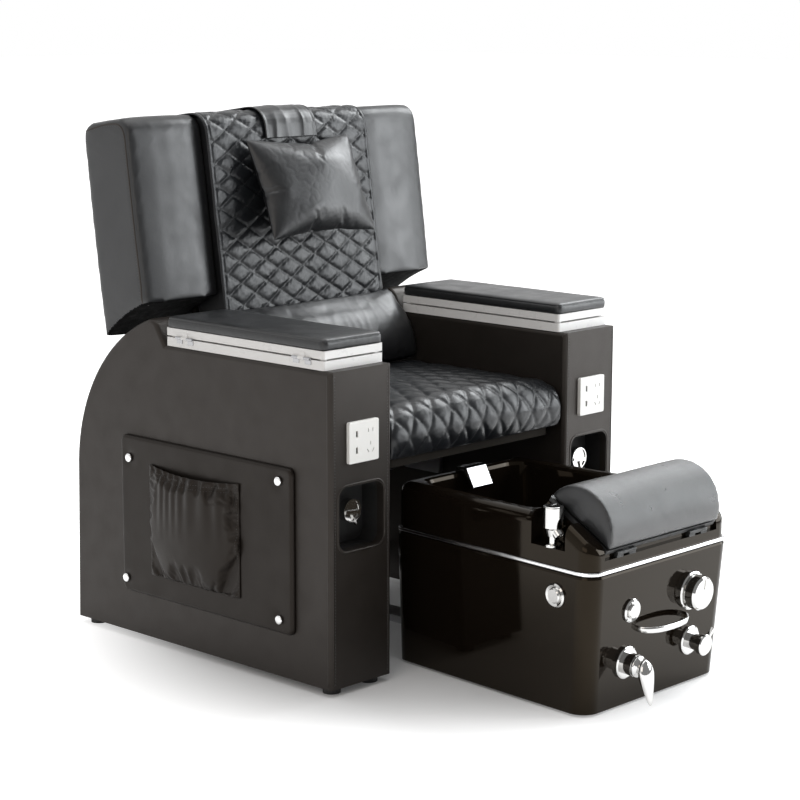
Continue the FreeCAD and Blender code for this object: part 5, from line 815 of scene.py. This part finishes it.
def slab(name, low, high, corner, profile, runs):
    """A padded slab: rounded rectangles stacked by a profile of insets and heights."""
    middle_x, middle_y = (low[0] + high[0]) / 2, (low[1] + high[1]) / 2
    half_x, half_y = (high[0] - low[0]) / 2, (high[1] - low[1]) / 2
    verts = []
    for inset, up in profile:
        ring = ring_points(half_x - inset, half_y - inset, max(0.0006, corner - inset))
        for index, (a, b) in enumerate(zip(ring, ring[1:] + ring[:1])):
            count = runs[(index // 9) % 2] if index % 9 == 8 else 1
            for k in range(count):
                spot = a.lerp(b, k / count)
                verts.append(Vector((middle_x + spot.x, middle_y + spot.y, low[2] + up)))
    return mesh_of(name, verts, tube_faces(len(profile), len(verts) // len(profile)))


# Insets and heights of an armrest pad: side, rolled lower edge, lapped seam and shoulder
PAD_SIDE = [(0.005, 0), (0.0012, 0.0015), (0.0004, 0.004), (0, 0.009), (0.0002, 0.014), (0.0009, 0.0168),
            (0.0021, 0.0178), (0.0026, 0.0184), (0.0017, 0.0192), (0.002, 0.0204), (0.0042, 0.0224),
            (0.008, 0.0238), (0.015, 0.0247)]
PAD_TOP = (0.022, 0.031, 0.041, 0.051, 0.061, 0.071, 0.081)


def armrest(side, label):
    """A full square pad with a lapped seam under its top edge, sewn with thick thread in front."""
    body = "armrest_" + label
    low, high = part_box("armrest_pad_" + label)
    low, high = (low[0] - 0.0005, low[1] - 0.0012, low[2]), (high[0] + 0.0005, high[1], high[2])
    tall = high[2] - low[2]
    profile = PAD_SIDE + [(inset, tall - 0.0009 * (1 - inset / 0.085)) for inset in PAD_TOP]
    mesh = slab("armrest_cushion_" + label, low, high, 0.012, profile, (56, 160))
    piece = linked(mesh.name, mesh)

    def height(point, normal):
        edge = 1 - smooth_step(0.004, 0.012, high[2] - point.z)
        pucker = wrinkle(Vector((point.x, point.y, point.z * 3)), 0.02, side * 5.0) * 0.0004
        return noise.noise(point / 0.08) * 0.0006 + pucker * (1 - edge) + pucker * 0.4

    sculpt(piece, height)
    dress(piece, CUSHION_LEATHER, body, ["armrest_pad_" + label])
    lines = []
    for out, x in ((-1, low[0]), (1, high[0])):
        points = [Vector((x, low[1] + 0.012 + 0.006 * k, low[2] + 0.0153))
                  for k in range(int((high[1] - low[1] - 0.024) / 0.006))]
        lines.append(laid_on(piece, points, Vector((out, 0, 0))))
    stitches("armrest_thread_" + label, lines, body, pitch=0.0046, length=0.003, thick=0.0009)
    points = [Vector((low[0] + 0.008 + 0.004 * k, low[1], low[2] + 0.0212))
              for k in range(int((high[0] - low[0] - 0.016) / 0.004))]
    stitches("armrest_front_thread_" + label, [laid_on(piece, points, FORWARDS)], body,
             pitch=0.0046, length=0.0034, thick=0.0022)


def footrest():
    """The half-round pad, its ends of the smoother leather, with a seam round each end."""
    piece = stuffed("footrest_pad", "footrest_cushion", "footrest", REST_LEATHER, 0.0055, 0.001, 0.002,
                    soft_waves(0.08, 0.0004, 2.0))
    piece.data.materials.append(CUSHION_LEATHER)
    for face in piece.data.polygons:
        if abs(face.normal.x) > 0.75:
            face.material_index = 1
    tree = surface_of(piece)
    for number, x in enumerate((-183.2, 183.2)):
        middle = on_rest(x, 88, 30)
        rays = []
        for k in range(61):
            angle = math.pi * (k / 60)
            point = on_rest(x, 88 - 88 * math.cos(angle), 12 + 70 * math.sin(angle) ** 0.9)
            rays.append((middle, (point - middle).normalized()))
        swept("footrest_seam_%d" % number, met(tree, rays, 0.2, 0.2), 0.0022, 0.0007, CUSHION_LEATHER,
              "footrest")


def pocket(side, label):
    """A leather pouch gathered by the elastic in its upper hem, sewn down on three sides."""
    columns, rows = 74, 62
    front, width, foot, tall = 261.0, 288.0, 165.0, 249.0

    def start(column, row):
        across = column * 2 - 1
        filled = math.sqrt(max(0.0, 1 - (1 - min(1, row / 0.45)) ** 2))
        bulge = (1 - across * across) * (3 + 12 * filled - 4 * max(0, row - 0.5))
        gathers = math.sin(column * 62 + 3 * math.sin(column * 9)) * smooth_step(0.35, 1.0, row)
        sag = -9 * (1 - across * across) * smooth_step(0.75, 1, row)
        return Vector((PANEL_FACE + 1.6 + bulge + gathers * 1.8 * (1 - across ** 6),
                       front + width * column, foot + tall * row + sag)) / 1000

    name = "pocket_" + label
    places = [start(c / (columns - 1), r / (rows - 1)) for r in range(rows) for c in range(columns)]
    piece = linked(name, mesh_of(name, places, grid_faces(columns, rows)))
    held = [r * columns + c for r in range(rows) for c in range(columns)
            if r in (0, rows - 1) or c in (0, columns - 1)]
    blow_up(piece, 0.012, pressure=1.2, frames=24, held=held, stiffness=8.0, bending=0.12, grow=0.11)
    for vert in piece.data.vertices:
        hem = smooth_step(0.915, 0.93, (vert.co.z * 1000 - foot) / tall)
        out = max(vert.co.x, (PANEL_FACE + 1.4) / 1000) + 0.0012 * hem
        vert.co = at(side * out * 1000, vert.co.y * 1000, vert.co.z * 1000)
    if side < 0:
        piece.data.flip_normals()
    solid = piece.modifiers.new("skin", "SOLIDIFY")
    solid.thickness = 0.0015
    solid.offset = 1
    applied(piece)
    finer(piece)
    dress(piece, COVER_LEATHER, "chair")
    runs = [[(front + inset, z) for z in range(168, 410, 4)] for inset in (4, width - 4)]
    runs.append([(y, foot + 4) for y in range(265, 546, 4)])
    for drop in (238, 229):
        runs.append([(front + width * k / 80, foot + drop - 9 * (1 - (k / 40 - 1) ** 2))
                     for k in range(2, 79)])
    lines = [laid_on(piece, [at(side * PANEL_FACE, y, z) for y, z in run], Vector((side, 0, 0)))
             for run in runs]
    stitches("pocket_thread_" + label, lines, "chair")
    return piece


# Side panels with their screw caps, and the holes of the sockets

SCREWS = ((143, 142), (143, 437), (638, 142), (622, 417))


def side_cover(side, label):
    """A board under thin padding and leather: soft edges, drawn in round its screws."""
    low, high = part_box("side_panel_" + label)
    middle_y, middle_z = (low[1] + high[1]) / 2, (low[2] + high[2]) / 2
    half_y, half_z = (high[1] - low[1]) / 2, (high[2] - low[2]) / 2
    wall, thick, corner, edge_roll = ARM_OUTSIDE / 1000, 0.0105, 0.016, 0.0062
    spots = [(at(0, y, z).y, z / 1000) for y, z in SCREWS]

    def place(column, row):
        """A point of the panel's face, its corners drawn onto their arcs, and the way to the edge."""
        y, z = (2 * column - 1) * half_y, (2 * row - 1) * half_z
        over_y, over_z = abs(y) - (half_y - corner), abs(z) - (half_z - corner)
        edge = min(half_y - abs(y), half_z - abs(z))
        if over_y > 0 and over_z > 0:
            share = max(over_y, over_z) / math.hypot(over_y, over_z)
            y = math.copysign(half_y - corner + over_y * share, y)
            z = math.copysign(half_z - corner + over_z * share, z)
        return middle_y + y, middle_z + z, edge

    def outer(column, row):
        y, z, edge = place(column, row)
        roll = edge_roll * (1 - min(1, edge / edge_roll))
        up = thick - edge_roll + math.sqrt(max(0, edge_roll ** 2 - roll ** 2))
        for spot_y, spot_z in spots:
            up -= 0.0026 * math.exp(-(math.hypot(y - spot_y, z - spot_z) / 0.015) ** 2)
        up += 0.0009 * noise.noise(Vector((y * 9, z * 9, side * 2.0))) * min(1, edge / 0.02)
        return Vector((side * (wall + up), y, z))

    def inner(column, row):
        return Vector((side * wall, *place(column, row)[:2]))

    mesh = shell("side_cover_" + label, 150, 104, outer, inner)
    if side < 0:
        mesh.flip_normals()
    finish_piece(mesh.name, mesh, COVER_LEATHER, "chair", ["side_panel_" + label])


# Heights and radii of a screw's mirror cap
CAP = ((-0.002, 0.0094), (0.0016, 0.0098), (0.0034, 0.0097), (0.0044, 0.009), (0.005, 0.0078),
       (0.0054, 0.005), (0.0055, 0.0012))


def screw_caps():
    around = 40
    for side, label in SIDES:
        axis = Vector((side, 0, 0))
        first = axis.orthogonal().normalized()
        second = axis.cross(first)
        verts, faces = [], []
        for y, z in SCREWS:
            faces += tube_faces(len(CAP), around, len(verts))
            for height, radius in CAP:
                for k in range(around):
                    angle = 2 * math.pi * k / around
                    verts.append(at(side * PANEL_FACE, y, z) + axis * height
                                 + (first * math.cos(angle) + second * math.sin(angle)) * radius)
        name = "screw_caps_" + label
        finish_piece(name, mesh_of(name, verts, faces), MIRROR, "chair",
                     ["side_panel_screws"] if side < 0 else ())


# Place, width, height and tilt of each hole of a socket
HOLES = ((-21, 17, 5.4, 12, 0), (-21, -17, 5.4, 12, 0), (12, 21, 2.2, 7.6, 0), (25, 21, 2.2, 7.6, 0),
         (18.5, -6, 2.2, 7.6, 0), (11, -21, 2.2, 8.6, 30), (26, -21, 2.2, 8.6, -30))


def socket_hole_shade():
    """Black inlays near the bottom of the plates' slots: painted shade that stands for the depth of the
    sockets' holes.
    """
    verts, faces = [], []
    for side, _ in SIDES:
        for x, z, width, height, tilt in HOLES:
            turn = Matrix.Rotation(math.radians(-tilt), 3, "Y")
            middle = at(side * ARM_MIDDLE + x, -3.9, 528 + z)
            faces += tube_faces(3, 4, len(verts))
            for forward, share in ((0.0, 1.0), (-1.6, 1.0), (-2.2, 0.8)):
                for sx, sz in ((-1, -1), (1, -1), (1, 1), (-1, 1)):
                    spot = Vector((sx * width / 2 * share, forward, sz * height / 2 * share)) / 1000
                    verts.append(middle + turn @ spot)
    mesh = mesh_of("socket_hole_shade", verts, faces)
    piece = finish_piece("socket_hole_shade", mesh, MATT_BLACK, "chair", ())
    piece.data.polygons.foreach_set("use_smooth", [False] * len(piece.data.polygons))


# Handle and mixer lever of the basin

WALL_LEAN = math.atan(20 / 290)


def on_wall(x, z, side, out, up):
    """A point off the basin's leaning front: beside, out of and above the place of a fitting."""
    wall = -(480 - 20 * (295 - z) / 290)
    return at(TUB_X + x + side, wall - out * math.cos(WALL_LEAN) - up * math.sin(WALL_LEAN),
              z - out * math.sin(WALL_LEAN) + up * math.cos(WALL_LEAN))


def lofted(name, rings, body, replaced=()):
    """A closed chrome form through rings with the same number of points."""
    verts = [point for ring in rings for point in ring]
    mesh = mesh_of(name, verts, tube_faces(len(rings), len(rings[0])))
    face_out(mesh)
    finish_piece(name, mesh, CHROME, body, replaced)


# Across and up, in half widths and half heights, round the handle's band
BAND = ((-1, -0.8), (-0.55, -1), (0.55, -1), (1, -0.8), (1, 0.8), (0.55, 1), (-0.55, 1), (-1, 0.8))


def bow_handle():
    """A flat chrome band bent into a bow, its ends bent to the wall."""
    half, reach, half_thick, half_tall = 75.5, 37, 2.2, 6.2
    rings = []
    for k in range(73):
        angle = math.pi * k / 72
        x = -half * math.copysign(abs(math.cos(angle)) ** 0.8, math.cos(angle))
        out = -1 + reach * math.sin(angle) ** 0.85
        ahead = Vector((half * math.sin(angle), (reach - 1) * math.cos(angle))).normalized()
        rings.append([on_wall(4, 160, x - ahead.y * across * half_thick,
                              out + ahead.x * across * half_thick, up * half_tall)
                      for across, up in BAND])
    lofted("bow_handle", rings, "basin", ["pull_handle"])


# Shares of its length and radii of the mixer's lever, and places along and radii of its hub
DROP = ((0, 1), (0.03, 8), (0.08, 13), (0.15, 17.2), (0.24, 19.6), (0.34, 20.2), (0.46, 18.6),
        (0.58, 15.8), (0.7, 12.6), (0.8, 10.2), (0.88, 8.4), (0.94, 6.4), (0.98, 4), (1, 1))
HUB = ((30.6, 21), (31.4, 22.6), (37, 22.6), (38.6, 21.4), (40, 16), (48, 13))


def teardrop_lever():
    """The mixer's lever: a plump drop that hangs from its hub and thins to a rounded tip."""
    mixer = (-107, 97)
    along = Vector((0.42, -0.9)).normalized()
    rings = []
    for share, radius in DROP:
        out, up = 47 + 27 * share, 19 - 92 * share
        ring = []
        for k in range(28):
            angle = 2 * math.pi * k / 28
            through = math.sin(angle) * radius * (0.72 - 0.12 * share)
            ring.append(on_wall(*mixer, math.cos(angle) * radius,
                                out - through * along.y, up + through * along.x))
        rings.append(ring)
    lofted("mixer_drop", rings, "mixer", ["mixer_lever"])
    angles = [math.pi * k / 20 for k in range(40)]
    lofted("mixer_hub", [[on_wall(*mixer, math.cos(a) * radius, out, math.sin(a) * radius)
                          for a in angles] for out, radius in HUB], "mixer")


# Seams of the arms

def arm_seams(side, label):
    """A lapped seam with stitches down both edges of an arm's front, and piping round its recess."""
    casing = frame["nodes"]["arm_casing_" + label]
    heights = range(24, 676, 6)
    lines = []
    for x, out in ((side * ARM_OUTSIDE, side), (side * ARM_INSIDE, -side)):
        for number, (x_seam, y, outwards) in enumerate(((x, 9, Vector((out, 0, 0))),
                                                        (x - out * 8, 0, FORWARDS))):
            spots = laid_on(casing, [at(x_seam, y, z) for z in heights], outwards)
            swept("arm_seam_%s_%d_%d" % (label, out > 0, number), spots, 0.0044, 0.0011, BODY_LEATHER,
                  "chair")
        lines.append(laid_on(casing, [at(x - out * 12, 0, z) for z in heights], FORWARDS))
    stitches("arm_thread_" + label, lines, "chair", pitch=0.0066, length=0.0042, thick=0.0022)
    ring = rounded_ring(side * ARM_MIDDLE, 370.5, 136, 141, 26)
    spots = laid_on(casing, [at(x, 0, z) for x, z in ring], FORWARDS)
    swept("recess_piping_" + label, spots, 0.0046, 0.0018, BODY_LEATHER, "chair")


def rounded_ring(x, z, width, height, radius):
    points = []
    for quarter in range(4):
        cx = x + (width / 2 - radius) * (1, -1, -1, 1)[quarter]
        cz = z + (height / 2 - radius) * (1, 1, -1, -1)[quarter]
        for step in range(13):
            angle = math.pi / 2 * (quarter + step / 12)
            points.append((cx + radius * math.cos(angle), cz + radius * math.sin(angle)))
    closed = points + points[:1]
    dense = []
    for (a, b), (c, d) in zip(closed, closed[1:]):
        count = max(1, int(math.hypot(c - a, d - b) / 4))
        dense += [(a + (c - a) * k / count, b + (d - b) * k / count) for k in range(count)]
    return dense + dense[:1]


seat()
back_centre()
for side, label in SIDES:
    wing(side, label)
    armrest(side, label)
    side_cover(side, label)
    arm_seams(side, label)
screw_caps()
socket_hole_shade()
bow_handle()
teardrop_lever()
pockets = [pocket(side, label) for side, label in SIDES]
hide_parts("side_pockets")
quilted_sheet()
strap_sheet()
pillow()
lumbar()
footrest()


# Floor, lights and camera

def directly(tree, *kinds):
    """1 for rays of these kinds and 0 for the rest."""
    path = tree.nodes.new("ShaderNodeLightPath")
    value = path.outputs[kinds[0]]
    for kind in kinds[1:]:
        either = added(tree, "ShaderNodeMath", {0: value, 1: path.outputs[kind]})
        either.operation = "MAXIMUM"
        value = either.outputs[0]
    return value


def ranged(tree, value, start, end, low, high):
    inputs = {"From Min": start, "From Max": end, "To Min": low, "To Max": high, "Value": value}
    levels = added(tree, "ShaderNodeMapRange", inputs)
    levels.interpolation_type = "SMOOTHSTEP"
    return levels.outputs["Result"]


def blended(tree, share, first, second):
    """A number between two, each a constant or the result of a node."""
    return added(tree, "ShaderNodeMix", {"Factor": share, "A": first, "B": second}).outputs["Result"]


def floor():
    """A pale floor that goes on to the backdrop; its shadow is kept."""
    bpy.ops.mesh.primitive_plane_add(size=80, location=(0, 0, -0.0005))
    plane = bpy.context.object
    plane.name = "floor"
    material = bpy.data.materials.new("floor_white")
    material.use_nodes = True
    tree = material.node_tree
    shader = tree.nodes["Principled BSDF"]
    shader.inputs["Base Color"].default_value = (0.84, 0.84, 0.84, 1)
    shader.inputs["Roughness"].default_value = 0.9
    shader.inputs["Emission Color"].default_value = (1, 1, 1, 1)
    away = added(tree, "ShaderNodeVectorMath", {0: tree.nodes.new("ShaderNodeTexCoord").outputs["Object"]})
    away.operation = "LENGTH"
    glow = ranged(tree, away.outputs["Value"], 0.4, 1.0, 0.04, 0.9)
    seen = directly(tree, "Is Camera Ray", "Is Glossy Ray", "Is Transmission Ray")
    tree.links.new(blended(tree, seen, 0.0, glow), shader.inputs["Emission Strength"])
    plane.data.materials.append(material)


def world():
    """White where it is seen; gloss sees it white behind the chair and grey in front, as a studio."""
    scene_world = bpy.data.worlds.new("studio")
    bpy.context.scene.world = scene_world
    scene_world.use_nodes = True
    tree = scene_world.node_tree
    background = tree.nodes["Background"]
    background.inputs["Color"].default_value = (1, 1, 1, 1)
    direction = tree.nodes.new("ShaderNodeTexCoord").outputs["Generated"]
    parts = added(tree, "ShaderNodeSeparateXYZ", {"Vector": direction})
    studio = ranged(tree, parts.outputs["Y"], -0.5, 0.4, 0.3, 1.0)
    glossy = blended(tree, directly(tree, "Is Glossy Ray"), 0.5, studio)
    seen = directly(tree, "Is Camera Ray", "Is Transmission Ray")
    tree.links.new(blended(tree, seen, glossy, 1.0), background.inputs["Strength"])


def softbox(name, place, target, size, power, colour=(1, 1, 1)):
    data = bpy.data.lights.new(name, "AREA")
    data.color = colour
    data.shape = "RECTANGLE"
    data.size, data.size_y = size
    data.energy = power
    lamp = linked(name, data)
    lamp.location = place
    lamp.rotation_euler = (Vector(target) - Vector(place)).to_track_quat("-Z", "Y").to_euler()


def camera():
    """The photograph's camera, fitted to edges of the arms, basin and back."""
    yaw, pitch, roll = 0.810289, -0.179985, 0.00206
    place = Vector((-3.51274, -3.09833 + CENTRE_Y / 1000, 1.41503))
    forward = Vector((math.sin(yaw) * math.cos(pitch), math.cos(yaw) * math.cos(pitch), math.sin(pitch)))
    level = Vector((math.cos(yaw), -math.sin(yaw), 0))
    upright = level.cross(forward)
    right = level * math.cos(roll) + upright * math.sin(roll)
    up = -level * math.sin(roll) + upright * math.cos(roll)
    data = bpy.data.cameras.new("camera")
    data.lens = 99.4357
    data.sensor_width = 36
    data.clip_end = 200
    thing = linked("camera", data)
    thing.matrix_world = Matrix.Translation(place) @ Matrix((right, up, -forward)).transposed().to_4x4()
    bpy.context.scene.camera = thing


floor()
world()
camera()
softbox("key", (3.2, -3.3, 1.7), (0, 0, 0.6), (2.2, 2.2), 80, (0.94, 0.97, 1.0))
softbox("panel", (2.45, -1.3, 1.45), (0.3, 0.1, 0.9), (1.0, 2.0), 34, (0.94, 0.98, 1.0))
softbox("side", (2.1, 0.0, 2.5), (0.02, -0.45, 0.45), (1.4, 1.4), 56, (0.95, 0.98, 1.0))
softbox("fill", (-4.2, -1.6, 2.4), (0, 0, 0.6), (2.5, 2.5), 29, (1.0, 0.91, 0.83))
softbox("top", (0.0, 0.2, 4.0), (0, 0, 0.5), (3.2, 3.2), 46)

bpy.context.scene.view_settings.view_transform = "Standard"
